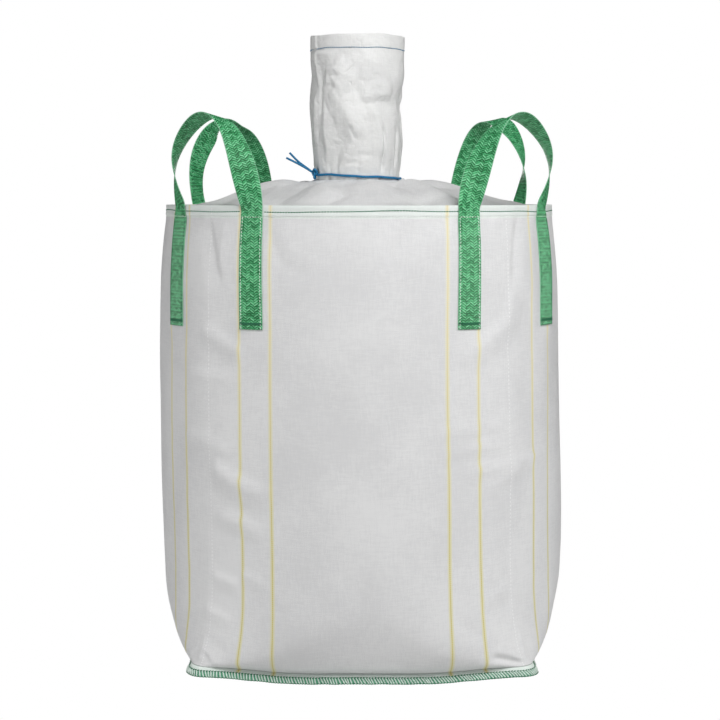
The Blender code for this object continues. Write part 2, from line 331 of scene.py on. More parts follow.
# %% Twist and mottle groups
def twist_group():
    """Laid strands of a thread or cord: slanting grooves that go round it as they go along it."""
    graph, given, result = new_group("twist", [("Cloth", VECTOR, None), ("Around", FLOAT, 0.01),
                                               ("Lay", FLOAT, 0.008), ("Strands", FLOAT, 3.0)],
                                     [("Height", FLOAT)])
    place = graph.split(given["Cloth"])
    turn = graph.math("MULTIPLY", graph.math("DIVIDE", place[0], given["Around"]), given["Strands"])
    phase = graph.math("ADD", turn, graph.math("DIVIDE", place[1], given["Lay"]))
    graph.feed(result["Height"], graph.math("SQRT", graph.wave(phase)))
    return graph.tree


def mottle_group():
    """Soft unevenness: one broad and one finer cloud, each from 0 to 1."""
    graph, given, result = new_group("mottle", [("Place", VECTOR, None), ("Broad", FLOAT, 6.0),
                                                ("Fine", FLOAT, 60.0)],
                                     [("Broad", FLOAT), ("Fine", FLOAT)])
    for label, detail in (("Broad", 3.0), ("Fine", 4.0)):
        cloud = graph.node("ShaderNodeTexNoise", {"Vector": given["Place"], "Scale": given[label],
                                                  "Detail": detail, "Roughness": 0.55})
        graph.feed(result[label], cloud.outputs[0])
    return graph.tree


herringbone, twist, mottle = herringbone_group(), twist_group(), mottle_group()
print("groups:", herringbone.name, twist.name, mottle.name)


# %% Start of a finish
def start_finish(name, roughness, specular):
    """A material with its graph, its shader, the cloth map and its places on the bag."""
    material = bpy.data.materials.new(name)
    material.use_nodes = True
    graph = Graph(material.node_tree)
    shader = material.node_tree.nodes["Principled BSDF"]
    shader.inputs["Roughness"].default_value = roughness
    shader.inputs["Specular IOR Level"].default_value = specular
    cloth = graph.node("ShaderNodeUVMap", uv_map="cloth").outputs[0]
    spot = graph.node("ShaderNodeTexCoord").outputs["Object"]
    return material, graph, shader, cloth, spot


def use(graph, group, **inputs):
    """Place a node group in a material; gives its outputs."""
    made = graph.node("ShaderNodeGroup", node_tree=group)
    for key, value in inputs.items():
        graph.feed(made.inputs[key], value)
    return made.outputs


def raise_surface(graph, shader, height, distance, strength=1.0):
    """Let a height stand up on the surface by a distance in metres."""
    bump = graph.node("ShaderNodeBump", {"Height": height, "Distance": distance, "Strength": strength})
    graph.feed(shader.inputs["Normal"], bump.outputs[0])


# %% [markdown]
# ### White cloth
# The body is white with a slight sheen. Pairs of yellow marker tapes run up it on both sides of each corner,
# where the loops are sewn, and a dotted line of self-coloured thread marks the fold at each corner. They are
# woven in, so they are part of this finish and not pieces of their own: their places are distances round the
# tube, counted from the nearest corner.

# %% White body cloth
GIRTH = 3.60
CORNER_SPACING = GIRTH / 4.0
SHADED_WHITE, CLEAN_WHITE = (0.73, 0.73, 0.735, 1.0), (0.83, 0.83, 0.83, 1.0)
MARKERS = (0.109, 0.205)       # distances of the yellow tapes from a corner, along the cloth


def body_finish():
    """White tape cloth with yellow marker tapes and dotted folds."""
    material, graph, shader, cloth, spot = start_finish("woven_white_cloth", 0.5, 0.35)
    weave = use(graph, tape_weave, Cloth=cloth, Pitch=0.0024)
    place = graph.split(cloth)
    turned = graph.math("FLOORED_MODULO", place[0], CORNER_SPACING)
    aside = graph.apart(turned, CORNER_SPACING / 2.0)
    pale, deep = [], []
    for marker in MARKERS:
        off = graph.apart(aside, marker)
        pale.append(graph.range(off, 0.0084, 0.0044))
        deep.append(graph.range(off, 0.0026, 0.0012))
    ticks = graph.every(place[1], 0.0054)
    pale = graph.math("MULTIPLY", graph.math("MAXIMUM", *pale), graph.range(ticks, 0.1, 0.7, 0.55, 0.85))
    deep = graph.math("MULTIPLY", graph.math("MAXIMUM", *deep), graph.range(ticks, 0.1, 0.6, 0.70, 1.0))
    dots = graph.math("MULTIPLY", graph.range(aside, 0.0022, 0.0010),
                      graph.range(graph.every(place[1], 0.0105), 0.45, 0.65))
    cloud = use(graph, mottle, Place=spot, Broad=3.5, Fine=45.0)
    tone = graph.vary(cloud["Broad"], weave["Tone"], 0.30)
    white = graph.mix(graph.range(tone, 0.25, 0.75), SHADED_WHITE, CLEAN_WHITE)
    # Green thread shows through at the hem and in the seam's allowance, which look faintly mint
    hem = graph.math("MULTIPLY", graph.range(place[1], 1.268, 1.272), 0.5)
    skirt = graph.range(place[1], 0.0300, 0.0270)
    white = graph.mix(graph.math("MAXIMUM", hem, skirt), white, (0.86, 0.95, 0.89, 1.0))
    # Painted shade: a thin dark line of shadow in the groove where the allowance leaves the seam
    from_seam = graph.apart(place[1], 0.0292)
    white = graph.mix(graph.range(from_seam, 0.0024, 0.0010, 0.0, 0.6), white, (0.16, 0.19, 0.17, 1.0))
    low = graph.range(place[1], 1.20, 0.30, 0.0, 1.0)
    gold = graph.mix(low, (0.86, 0.76, 0.46, 1.0), (0.68, 0.60, 0.22, 1.0))
    straw = graph.mix(low, (0.88, 0.84, 0.62, 1.0), (0.80, 0.76, 0.46, 1.0))
    colour = graph.mix(deep, graph.mix(pale, white, straw), gold)
    colour = graph.mix(graph.math("MULTIPLY", dots, 0.8), colour, (0.95, 0.95, 0.95, 1.0))
    graph.feed(shader.inputs["Base Color"], colour)
    graph.feed(shader.inputs["Roughness"], graph.range(cloud["Fine"], 0.3, 0.7, 0.42, 0.60))
    height = graph.math("MULTIPLY_ADD", cloud["Fine"], 1.2, weave["Height"])
    height = graph.math("MULTIPLY_ADD", dots, 1.5, height)
    height = graph.math("MULTIPLY_ADD", graph.math("MULTIPLY", deep, ticks), 0.8, height)
    raise_surface(graph, shader, height, 0.00035, 0.7)
    return material


def plain_cloth_finish(name, pitch, dark, light, roughness, crumple):
    """White tape cloth without markers, for the panels and the spout; crumple is its fine creasing in mm."""
    material, graph, shader, cloth, spot = start_finish(name, roughness, 0.35)
    weave = use(graph, tape_weave, Cloth=cloth, Pitch=pitch)
    cloud = use(graph, mottle, Place=spot, Broad=7.0, Fine=60.0)
    tone = graph.vary(cloud["Broad"], weave["Tone"], 0.25)
    graph.feed(shader.inputs["Base Color"], graph.mix(graph.range(tone, 0.25, 0.75), dark, light))
    rough = graph.range(cloud["Fine"], 0.3, 0.7, roughness - 0.08, roughness + 0.08)
    graph.feed(shader.inputs["Roughness"], rough)
    # Fine creases: the sharp valleys of a folded noise, which is its distance from its own middle value
    folded = graph.node("ShaderNodeTexNoise", {"Vector": spot, "Scale": 24.0, "Detail": 2.0,
                                               "Roughness": 0.5})
    creased = graph.apart(folded.outputs[0], 0.5)
    height = graph.math("MULTIPLY", graph.math("MULTIPLY_ADD", cloud["Fine"], 1.2, weave["Height"]), 0.0002)
    height = graph.math("MULTIPLY_ADD", creased, 0.006 * crumple, height)
    raise_surface(graph, shader, height, 1.0, 0.8)
    return material


white_cloth = body_finish()
panel_cloth = plain_cloth_finish("woven_white_panel", 0.0024, SHADED_WHITE, CLEAN_WHITE, 0.5, 0.9)
spout_cloth = plain_cloth_finish("light_white_cloth", 0.0018, (0.76, 0.76, 0.755, 1.0),
                                 (0.86, 0.86, 0.85, 1.0), 0.42, 1.6)
print("finishes:", white_cloth.name, panel_cloth.name, spout_cloth.name)


# %% Webbing, cord and threads
def webbing_finish():
    """Green herringbone webbing with painted shade between its ribs and painted highlights on their crests.
    """
    material, graph, shader, cloth, spot = start_finish("green_webbing", 0.55, 0.4)
    twill = use(graph, herringbone, Cloth=cloth, Rib=0.0070, Band=0.0112)
    place, body_place = graph.split(cloth), graph.split(spot)
    cloud = use(graph, mottle, Place=spot, Broad=30.0, Fine=200.0)
    # The yarns differ from pick to pick, which shows as short streaks across the strap
    stretched = graph.node("ShaderNodeCombineXYZ", {0: graph.math("MULTIPLY", place[0], 45.0),
                                                    1: graph.math("MULTIPLY", place[1], 130.0)}).outputs[0]
    streaks = use(graph, mottle, Place=stretched, Broad=1.0, Fine=1.6)
    # The picks that cross the webbing show as faint rows
    picks = graph.every(place[1], 0.0062)
    # Painted shade and light: the colour is dark where the ribs are low and pale on their crests
    shade = twill["Height"]
    for value, amount in ((twill["Tone"], 0.80), (cloud["Broad"], 0.4), (cloud["Fine"], 0.7), (picks, 0.45),
                          (streaks["Fine"], 1.5)):
        shade = graph.vary(shade, value, amount)
    # On the legs at the sides the rows, in pairs of picks, stand out more than the ribs do
    at_side = graph.math("MAXIMUM", graph.range(body_place[0], 0.40, 0.46),
                         graph.range(body_place[0], -0.40, -0.46))
    rows = graph.math("MULTIPLY_ADD", streaks["Broad"], 3.0, graph.every(place[1], 0.0094))
    rows = graph.math("MULTIPLY", graph.math("SUBTRACT", rows, 2.0), at_side)
    shade = graph.math("MULTIPLY_ADD", rows, 0.75, shade)
    colour = graph.mix(graph.range(shade, 0.0, 1.0), (0.006, 0.128, 0.036, 1.0), (0.078, 0.47, 0.182, 1.0))
    # Painted highlights: pale flecks on the crests. Painted light: the sewn legs are made a little paler at
    # the sides, most on the right. And a pale selvage along both edges
    painted_crest_highlight = graph.math("MULTIPLY", graph.range(twill["Height"], 0.50, 0.85),
                       graph.range(twill["Tone"], 0.1, 0.9))
    # Painted light: the sewn legs are made paler at the sides, most on the right
    painted_side_light = graph.math("MAXIMUM", graph.range(body_place[0], 0.10, 0.50),
                          graph.range(body_place[0], -0.36, -0.50))
    painted_side_light = graph.math("MULTIPLY", painted_side_light, graph.range(body_place[2], 1.27, 1.20))
    edge = graph.range(graph.math("ABSOLUTE", place[0]), 0.0318, 0.0332)
    for share, amount, paint in ((painted_crest_highlight, 0.44, (0.40, 0.88, 0.56, 1.0)),
                                 (painted_side_light, 0.16, (0.50, 0.86, 0.62, 1.0)),
                                 (edge, 0.6, (0.36, 0.70, 0.47, 1.0))):
        colour = graph.mix(graph.math("MULTIPLY", share, amount), colour, paint)
    graph.feed(shader.inputs["Base Color"], colour)
    raise_surface(graph, shader, twill["Height"], 0.0008, 0.9)
    return material


def thread_finish(name, dark, light, around=0.004, lay=0.003, strands=2.0):
    """Twisted thread or cord, with painted shade in the grooves between its strands."""
    material, graph, shader, cloth, spot = start_finish(name, 0.55, 0.4)
    strand = use(graph, twist, Cloth=cloth, Around=around, Lay=lay, Strands=strands)["Height"]
    cloud = use(graph, mottle, Place=spot, Broad=60.0, Fine=400.0)
    # Painted shade: the colour is darker where the strands dip, in the grooves between them
    share = graph.vary(strand, cloud["Broad"], 0.6)
    graph.feed(shader.inputs["Base Color"], graph.mix(graph.range(share, 0.15, 0.95), dark, light))
    raise_surface(graph, shader, strand, 0.0004, 0.9)
    return material


green_webbing = webbing_finish()
blue_cord = thread_finish("blue_cord", (0.002, 0.070, 0.20, 1.0), (0.012, 0.230, 0.46, 1.0),
                          0.0188, 0.0075, 3.0)
green_thread = thread_finish("green_thread", (0.06, 0.27, 0.15, 1.0), (0.16, 0.46, 0.29, 1.0))
dark_green_thread = thread_finish("dark_green_thread", (0.010, 0.10, 0.05, 1.0), (0.035, 0.23, 0.11, 1.0))
white_thread = thread_finish("white_thread", (0.76, 0.82, 0.76, 1.0), (0.93, 0.96, 0.93, 1.0))
mint_thread = thread_finish("pale_mint_thread", (0.68, 0.88, 0.75, 1.0), (0.90, 0.98, 0.93, 1.0),
                            0.005, 0.004)
blue_thread = thread_finish("blue_thread", (0.03, 0.12, 0.24, 1.0), (0.10, 0.26, 0.42, 1.0))
print("finishes:", green_webbing.name, blue_cord.name, green_thread.name, mint_thread.name)

# %% [markdown]
# ## The body's shape
# Filled with air or goods, the tube is round from knee height up. Below, it closes onto its square base: over
# a side of the base the cloth swells out past the seam, and over a corner it is drawn in. The radius at each
# direction blends from the base's rounded square to the round tube. The folds are added as relief in
# millimetres: a simulated cloth would find its own folds, and here they have to lie where the photograph
# shows them.

# %% Sizes shared with the solids
RIM_HEIGHT = 1.268
HEM_WIDTH = 0.028
BASE_HALF_SIDE = 0.457
BASE_CORNER_RADIUS = 0.050
BASE_SIDE_BULGE = 0.006
SEAM_HEIGHT = 0.023
SEAM_FLARE = 0.017
RAW_EDGE = 0.0012               # height of the allowance's raw edge over the floor
RIM_ROW = 1.252                 # height of the green row under the rim
CORNER_LIFT = 0.022
SIDE_LIFT = 0.005
ROUND_HEIGHT = 0.40
# Levels between the seam and the round part: share of the way up, and how round the tube is there
ROUNDING = [(0.0, 0.0), (0.04, 0.19), (0.12, 0.43), (0.25, 0.67), (0.42, 0.87), (0.68, 0.965), (1.0, 1.0)]
TUBE_PROFILE = [(0.40, 0.5745), (0.524, 0.5750), (0.700, 0.5730), (0.943, 0.5685), (1.080, 0.5635),
                (1.167, 0.5560), (1.240, 0.5475), (RIM_HEIGHT, 0.5460)]
MEAN_RADIUS = GIRTH / (2.0 * math.pi)
FRONT = -math.pi / 2.0
STRAP_FOOT = 0.943
FOOT_RISE = (0.005, 0.0)        # how much higher the inner leg ends, and the side leg
LEG_LEAD = 8.0                  # degrees that an arch is turned ahead of its law above the side leg
# Each loop: the direction of its inner and its side leg in degrees from +X, the arch's height above the rim,
# how far it leans out for each metre of height, how far the arch swells past its side leg and past its inner
# leg, how far along the arch the strap faces straight up (0 at the top, -1 and 1 at the legs), how late it
# turns (1 is evenly, more is nearer the legs), and in degrees how far its side half is held turned outwards
# (0 where it isn't) and how far its top is tilted back
LOOPS = {"front_left": (239.7, 208.3, 0.236, 0.073, 0.042, -0.018, -0.095, 1.50, 0.0, 12.2),
         "front_right": (301.3, 334.8, 0.234, 0.129, 0.052, -0.013, -0.20, 1.30, 0.0, 20.0),
         "rear_left": (122.8, 151.3, 0.242, 0.060, 0.025, -0.004, -0.11, 0.66, 90.0, 12.0),
         "rear_right": (55.9, 28.7, 0.255, 0.085, 0.031, -0.019, 0.105, 0.955, 0.0, 25.0)}


def degrees_from_front(angles):
    """How far a direction lies from the front, in degrees, positive to the right."""
    return np.degrees((angles - FRONT + math.pi) % (2.0 * math.pi) - math.pi)


def corner_share(angles, power):
    """1 at the base's corners and 0 at the middles of its sides."""
    return np.abs(np.sin(2.0 * angles)) ** power


def rounded_square(angles, half, arc, bulge):
    """Distance from the axis to a rounded square: a side swollen in its middle, or a corner's arc."""
    folded = np.abs((angles + math.pi / 4) % (math.pi / 2) - math.pi / 4)
    centre = half - arc
    along = centre * (np.cos(folded) + np.sin(folded))
    off = centre * (np.cos(folded) - np.sin(folded))
    corner = along + np.sqrt(np.maximum(arc ** 2 - off ** 2, 0.0))
    on_side = half * np.tan(folded) <= centre
    return np.where(on_side, half / np.cos(folded), corner) + bulge * np.cos(2.0 * folded) ** 2


def base_outline(angles, inset=0.0):
    """The outline of the base's seam, or one inside it."""
    arc = max(BASE_CORNER_RADIUS - inset, 0.01)
    return rounded_square(angles, BASE_HALF_SIDE - inset, arc, BASE_SIDE_BULGE)


def seam_level(angles):
    """Height of the base seam: it lifts at the corners, and a little in the middles of the sides."""
    return SEAM_HEIGHT + CORNER_LIFT * corner_share(angles, 6) + SIDE_LIFT * np.cos(2.0 * angles) ** 2


def lean(height):
    """How far the bag stands to the right at a height: it leans a little to the left as it goes up."""
    return 0.006 - 0.009 * smoothstep(0.05, 0.9, height)


def drift(angles, height):
    """How far the upright yarns and the legs sewn to them turn towards the front, from the rim downwards."""
    return -0.034 * np.sin(angles - FRONT) * smoothstep(1.268, 0.92, height)


def leg_facets(across, height):
    """Webbing is stiff across, so the wall is flat under each leg and faces more to the front or back."""
    total = 0.0
    for legs in LOOPS.values():
        for degrees, slope in zip(legs[:2], (0.07, 0.15)):
            leg = math.radians(degrees_from_front(np.radians(degrees))) * MEAN_RADIUS
            outward = (across - leg) * math.copysign(1.0, leg) * math.copysign(1.0, 0.9 - abs(leg))
            total = total + slope * outward / (1.0 + (outward / 0.046) ** 6)
    return total * smoothstep(0.88, 0.96, height)


# %% [markdown]
# ### Folds and creases
# Soft cloth folds in a bell, with no edge. Stiff cloth creases: two flat faces meet in a line, and often one
# face is steeper than the other. Both follow a route of straight pieces on the cloth and fade out at its
# ends. A route is written in metres across and up, so the same words make a dent in the body and a crease
# in the spout. A positive depth stands out of the cloth and a negative one sinks in.


# %% Folds and creases
def near_route(across, up, route):
    """How far each point lies off a route, positive to the right of one who walks it, and how far along."""
    route = np.array(route, dtype=float)
    lengths = path_length(route)
    nearest = np.full(np.broadcast_shapes(np.shape(across), np.shape(up)), np.inf)
    off, share = np.zeros_like(nearest), np.zeros_like(nearest)
    for start, end, before in zip(route[:-1], route[1:], lengths):
        line = (end - start) / np.linalg.norm(end - start)
        x, y = across - start[0], up - start[1]
        along = np.clip(x * line[0] + y * line[1], 0.0, np.linalg.norm(end - start))
        distance = np.hypot(x - along * line[0], y - along * line[1])
        side = np.where(x * line[1] - y * line[0] > 0.0, 1.0, -1.0)
        closer = distance < nearest
        nearest = np.where(closer, distance, nearest)
        off = np.where(closer, side * distance, off)
        share = np.where(closer, (before + along) / lengths[-1], share)
    return off, smoothstep(0.0, 0.22, share) * smoothstep(1.0, 0.78, share)


def fold(across, up, route, width, depth):
    """A soft fold: a bell across its route."""
    off, fade = near_route(across, up, route)
    return depth * fade * np.exp(-(off / width) ** 2)


def crease(across, up, route, left, right, depth):
    """A crease: flat faces that fall off over one width on the left of its route and another on the right."""
    off, fade = near_route(across, up, route)
    side = np.where(off > 0.0, off / right, off / left)
    return depth * fade * np.maximum(0.0, 1.10 - np.sqrt(side ** 2 + 0.01))


# Places on the body: metres round the cloth from the front, to the right, and metres above the floor
BODY_FOLDS = [([(-0.26, 1.22), (-0.21, 1.12), (-0.12, 1.08)], 0.014, -0.0040),
              ([(0.10, 1.06), (0.25, 1.22)], 0.020, 0.0040),
              ([(0.06, 1.12), (0.16, 1.23)], 0.013, -0.0030),
              ([(-0.10, 1.05), (-0.05, 1.23)], 0.045, -0.0026),
              ([(0.24, 0.20), (0.34, 0.12)], 0.013, -0.0024),
              ([(-0.15, 1.00), (0.05, 0.70)], 0.070, 0.0022),
              ([(0.02, 0.90), (0.23, 0.56)], 0.060, -0.0020),
              ([(-0.05, 0.42), (0.18, 0.22)], 0.045, 0.0022)]
# The same with a steep side and a flat one: route, width on the left, width on the right, depth. Where the
# cloth sags between two legs it folds steeply above and runs out flat below.
BODY_CREASES = [([(-0.44, 0.595), (-0.33, 0.545), (-0.23, 0.515)], 0.020, 0.055, 0.0105),
                ([(-0.56, 0.66), (-0.44, 0.65), (-0.34, 0.62)], 0.012, 0.040, 0.0048),
                ([(-0.44, 0.46), (-0.32, 0.44), (-0.25, 0.41)], 0.014, 0.040, 0.0061),
                ([(-0.44, 0.29), (-0.34, 0.27)], 0.012, 0.035, 0.0051),
                ([(-0.34, 0.31), (-0.25, 0.28)], 0.012, 0.035, 0.0044),
                ([(-0.47, 0.20), (-0.36, 0.17)], 0.012, 0.035, 0.0048),
                ([(-0.48, 0.95), (-0.41, 0.93), (-0.30, 0.88)], 0.014, 0.040, 0.0068),
                ([(-0.55, 0.83), (-0.34, 0.82)], 0.012, 0.035, 0.0041),
                ([(0.27, 0.87), (0.35, 0.91), (0.44, 0.97), (0.46, 1.07)], 0.020, 0.050, 0.0075),
                ([(0.16, 0.68), (0.44, 0.70)], 0.012, 0.035, 0.0037),
                ([(0.18, 0.63), (0.44, 0.65)], 0.011, 0.030, 0.0044),
                ([(0.26, 0.575), (0.46, 0.590), (0.60, 0.600)], 0.011, 0.036, 0.0054),
                ([(0.33, 0.52), (0.50, 0.58)], 0.012, 0.035, 0.0048),
                ([(0.33, 0.23), (0.43, 0.26)], 0.012, 0.035, 0.0044),
                ([(-0.39, 1.050), (-0.44, 1.180), (-0.47, 1.240)], 0.050, 0.014, -0.0048),
                ([(-0.40, 1.080), (-0.395, 1.236)], 0.020, 0.026, 0.0026),
                ([(0.46, 1.050), (0.48, 1.180), (0.51, 1.240)], 0.014, 0.040, -0.0048),
                ([(0.44, 1.150), (0.39, 1.240)], 0.018, 0.024, 0.0028)]
# Puckers at a base corner, with the corner at 0: for one with its seam to the left, and to the right of it
LEFT_PUCKERS = [([(0.000, 0.052), (0.002, 0.120)], 0.012, 0.016, 0.0045),
                ([(0.002, 0.096), (0.030, 0.076), (0.062, 0.052)], 0.014, 0.010, 0.0040),
                ([(0.020, 0.112), (0.080, 0.082)], 0.018, 0.012, -0.0028),
                ([(-0.060, 0.060), (-0.004, 0.100)], 0.012, 0.016, 0.0035)]
RIGHT_PUCKERS = [([(-0.105, 0.082), (-0.050, 0.064), (0.000, 0.046)], 0.011, 0.018, -0.0085),
                 ([(-0.085, 0.098), (-0.040, 0.082), (-0.004, 0.060)], 0.022, 0.012, 0.0055),
                 ([(-0.090, 0.128), (-0.020, 0.092)], 0.020, 0.012, 0.0025),
                 ([(0.002, 0.052), (0.004, 0.130)], 0.012, 0.014, 0.0035)]
CORNER_PUCKERS = [(-0.5, LEFT_PUCKERS), (0.5, RIGHT_PUCKERS), (1.5, LEFT_PUCKERS), (-1.5, RIGHT_PUCKERS)]


def body_relief(angles, height):
    """Outward relief of the round wall: slow waves all round it, and its own folds."""
    across = np.radians(degrees_from_front(angles)) * MEAN_RADIUS
    waves = (0.0018 * np.sin(3.0 * angles + 0.7 + 1.9 * height)
             + 0.0018 * np.sin(7.0 * angles + 2.1 - 3.0 * height)
             + 0.0014 * np.sin(13.0 * angles + 5.0 * height + 0.4) * np.sin(6.0 * height)
             + 0.0007 * np.sin(23.0 * angles - 7.0 * height))
    total = waves * smoothstep(1.30, 1.05, height)
    for route, width, depth in BODY_FOLDS:
        total = total + fold(across, height, route, width, depth)
    for route, left, right, depth in BODY_CREASES:
        total = total + crease(across, height, route, left, right, depth)
    from_corner = (across + CORNER_SPACING) % CORNER_SPACING - CORNER_SPACING / 2.0
    edge = 0.0018 * np.maximum(0.0, 1.0 - np.abs(from_corner) / 0.035) * smoothstep(1.0, 0.5, height)
    total = total + edge + leg_facets(across + drift(angles, height) * -MEAN_RADIUS, height)
    return total * smoothstep(1.262, 1.225, height)


def corner_relief(angles, height):
    """The puckers over the four corners of the base, where the seam gathers the tube."""
    across = np.radians(degrees_from_front(angles)) * MEAN_RADIUS
    total = 0.0
    for corner, puckers in CORNER_PUCKERS:
        for route, left, right, depth in puckers:
            total = total + crease(across - corner * CORNER_SPACING, height, route, left, right, depth)
    return total


def hem_relief(angles, height):
    """The hem is a double layer, and its stitches pull the cloth in and pucker it."""
    band = 0.0016 * smoothstep(RIM_HEIGHT - HEM_WIDTH - 0.0012, RIM_HEIGHT - HEM_WIDTH + 0.0012, height)
    drawn = -0.0010 * bell(height, RIM_ROW, 0.0040)
    ripple = 0.0008 * np.sin(angles * 31.0 + 1.7 * np.sin(angles * 5.0))
    ripple = ripple + 0.0005 * np.sin(angles * 57.0 + 0.8)
    return band + drawn + ripple * bell(height, 1.236, 0.022)


def wall_radius(angles, height):
    """Distance from the leaning axis to the outside of the round wall."""
    return smooth_curve(TUBE_PROFILE, height) + body_relief(angles, height) + hem_relief(angles, height)


def wall_point(angles, height, off=0.0):
    """A point on the outside of the round wall, or off it by a distance."""
    angles, height = np.broadcast_arrays(angles, height)
    radius = wall_radius(angles, height) + off
    return on_circle(angles, radius, height, lean(height))


print("wall radius at the front, mid height:", round(float(wall_radius(np.array(FRONT), np.array(0.7))), 4))

# %% [markdown]
# ### Body cloth
# The cloth is one piece from the raw edge in the base seam, up the wall, and over the rim into the hem. It is
# made as rows of points from the seam's edge upwards. Rows lie close together at the seam and the hem, where
# the cloth bends most, and columns lie closer at the base's corners.

# %% Body cloth
COLUMNS = 384
steps = np.arange(COLUMNS + 1) * 2.0 * math.pi / COLUMNS
ANGLES = steps + 0.1 * np.sin(4.0 * steps)
CLOTH_THICKNESS = 0.0008


def allowance(angles, share):
    """Radius and height of the seam's ruffled allowance: share 0 at its raw edge, 1 at the seam."""
    ruffle = 0.0012 * np.sin(angles * 37.0 + 2.0 * np.sin(angles * 3.0)) + 0.0008 * np.sin(angles * 61.0)
    out = SEAM_FLARE * np.maximum(1.0 - share, 0.0) ** 0.8 + ruffle * (1.0 - share)
    height = seam_level(angles) - SEAM_HEIGHT + RAW_EDGE + (SEAM_HEIGHT - RAW_EDGE) * share
    return base_outline(angles) + out, height


def rounding_rows(angles):
    """From the seam to the round wall: the girth stays, so the sides swell as the corners round off."""
    level = seam_level(angles)
    first_radius = TUBE_PROFILE[0][1]
    rows = []
    for share in np.concatenate([np.linspace(0.0, 0.12, 14), np.linspace(0.135, 1.0, 34)]):
        roundness = float(smooth_curve(ROUNDING, np.array(share)))
        half = BASE_HALF_SIDE + (first_radius - BASE_HALF_SIDE) * roundness
        arc = BASE_CORNER_RADIUS + (first_radius - BASE_CORNER_RADIUS) * roundness
        radius = rounded_square(angles, half, arc, BASE_SIDE_BULGE * (1.0 - roundness))
        height = level + (ROUND_HEIGHT - level) * share
        relief = body_relief(angles, height) * smoothstep(0.0, 0.35, share)
        pucker = corner_relief(angles, height) * smoothstep(0.0, 0.03, share)
        rows.append((radius + relief + pucker, height))
    return rows


def wall_rows(angles):
    """The round wall, then the hem over the rim and down inside it."""
    at_the_hem = [1.222, 1.228, 1.232, 1.2355, 1.2375, 1.2390, 1.2405, 1.2425, 1.246, 1.250, 1.2535, 1.257,
                  1.262, 1.2665]
    heights = np.concatenate([np.linspace(0.415, 1.215, 54), at_the_hem])
    rows = [(wall_radius(angles, np.full_like(angles, height)), height + 0.0 * angles) for height in heights]
    rim = rows[-1][0]
    over_the_rim = [(0.0006, 1.2678), (0.0014, 1.2680), (0.0022, 1.2674), (0.0026, 1.262), (0.0026, 1.250),
                    (0.0026, 1.2405)]
    for inward, height in over_the_rim:
        rows.append((rim - inward, height + 0.0 * angles))
    return rows


flange_rows = [allowance(ANGLES, share) for share in (0.0, 0.15, 0.35, 0.55, 0.75, 0.90, 0.97)]
rows = flange_rows + rounding_rows(ANGLES) + wall_rows(ANGLES)
radius, height = np.array([row[0] for row in rows]), np.array([row[1] for row in rows])
body_points = on_circle(ANGLES, radius, height, lean(height))
up_the_cloth = path_length(body_points[:, 0])[:, None] + 0.0 * ANGLES
# The yarns run straight up, so each row holds the same girth of cloth, shared out by the length along it and
# counted from the middle of the front.
along_row = np.concatenate([np.zeros((len(rows), 1)),
                            np.cumsum(np.linalg.norm(np.diff(body_points, axis=1), axis=2), axis=1)], axis=1)
even_share = along_row / along_row[:, -1:]
front_share = np.array([np.interp(1.5 * math.pi, ANGLES, share) for share in even_share])[:, None]
around_the_cloth = (even_share - front_share) * GIRTH - drift(ANGLES, height) * MEAN_RADIUS
body = grid_surface("body_cloth", body_points[:, :-1], around_the_cloth, up_the_cloth, wrap=True)
thicken(body, CLOTH_THICKNESS)
dress(body, white_cloth, "body_cloth", "body_fabric")
print("cloth height:", round(float(up_the_cloth[-1, 0]), 3))

# %% [markdown]
# ## Base panel
# The base is a square of the same cloth. It lies flat on the floor, rises to the seam at its edge, and turns
# down inside the body's allowance, so that the two raw edges lie together for the overlock.

# %% Base panel
base_angles = ANGLES[::2][:-1]
base_level = seam_level(base_angles)
base_lift = base_level - SEAM_HEIGHT
BASE_PROFILE = [(-0.0100, 0.0030, 1.0), (-0.0050, 0.0105, 1.0), (0.0010, 0.0165, 1.0), (0.0040, 0.0195, 1.0),
                (0.0090, 0.0195, 1.0), (0.0180, 0.0150, 0.95), (0.0300, 0.0090, 0.85), (0.0500, 0.0035, 0.60),
                (0.0750, 0.0015, 0.35), (0.1100, 0.0012, 0.12), (0.1700, 0.0012, 0.0), (0.2600, 0.0012, 0.0),
                (0.3400, 0.0012, 0.0), (0.4300, 0.0012, 0.0)]
base_rows = []
for inset, level, share in BASE_PROFILE:
    outline = base_outline(base_angles, inset)
    flat_z = level + share * base_lift + 0.0006 * np.sin(base_angles * 9.0 + inset * 40.0) * (inset < 0.09)
    base_rows.append(on_circle(base_angles, outline, flat_z, lean(0.0)))
base_rows.append(base_rows[-1] * [0.02, 0.02, 1.0] + [lean(0.0), 0.0, 0.0])
base = disc_surface("base_panel_cloth", np.array(base_rows))
thicken(base, CLOTH_THICKNESS)
dress(base, panel_cloth, "body_cloth", "bottom_panel")

# %% [markdown]
# ## Top panel and neck
# The top is a disc of cloth, sewn in under the hem and gathered up to the spout. It rises like a low tent.
# Its folds run out from the neck, because the cloth of a flat disc has too much length round the middle once
# it stands up. Each fold is a bell across the direction and fades out towards the hem.

# %% Top panel
SPOUT_SHIFT = -0.006
SPOUT_AXIS = SPOUT_SHIFT + float(lean(1.4))
TOP_PROFILE = [(0.5420, 1.2440), (0.5410, 1.2520), (0.5340, 1.2590), (0.5050, 1.2625), (0.4200, 1.2715),
               (0.3400, 1.2950), (0.2640, 1.3155), (0.1900, 1.3270), (0.1500, 1.3315), (0.1300, 1.3340),
               (0.1235, 1.3375)]
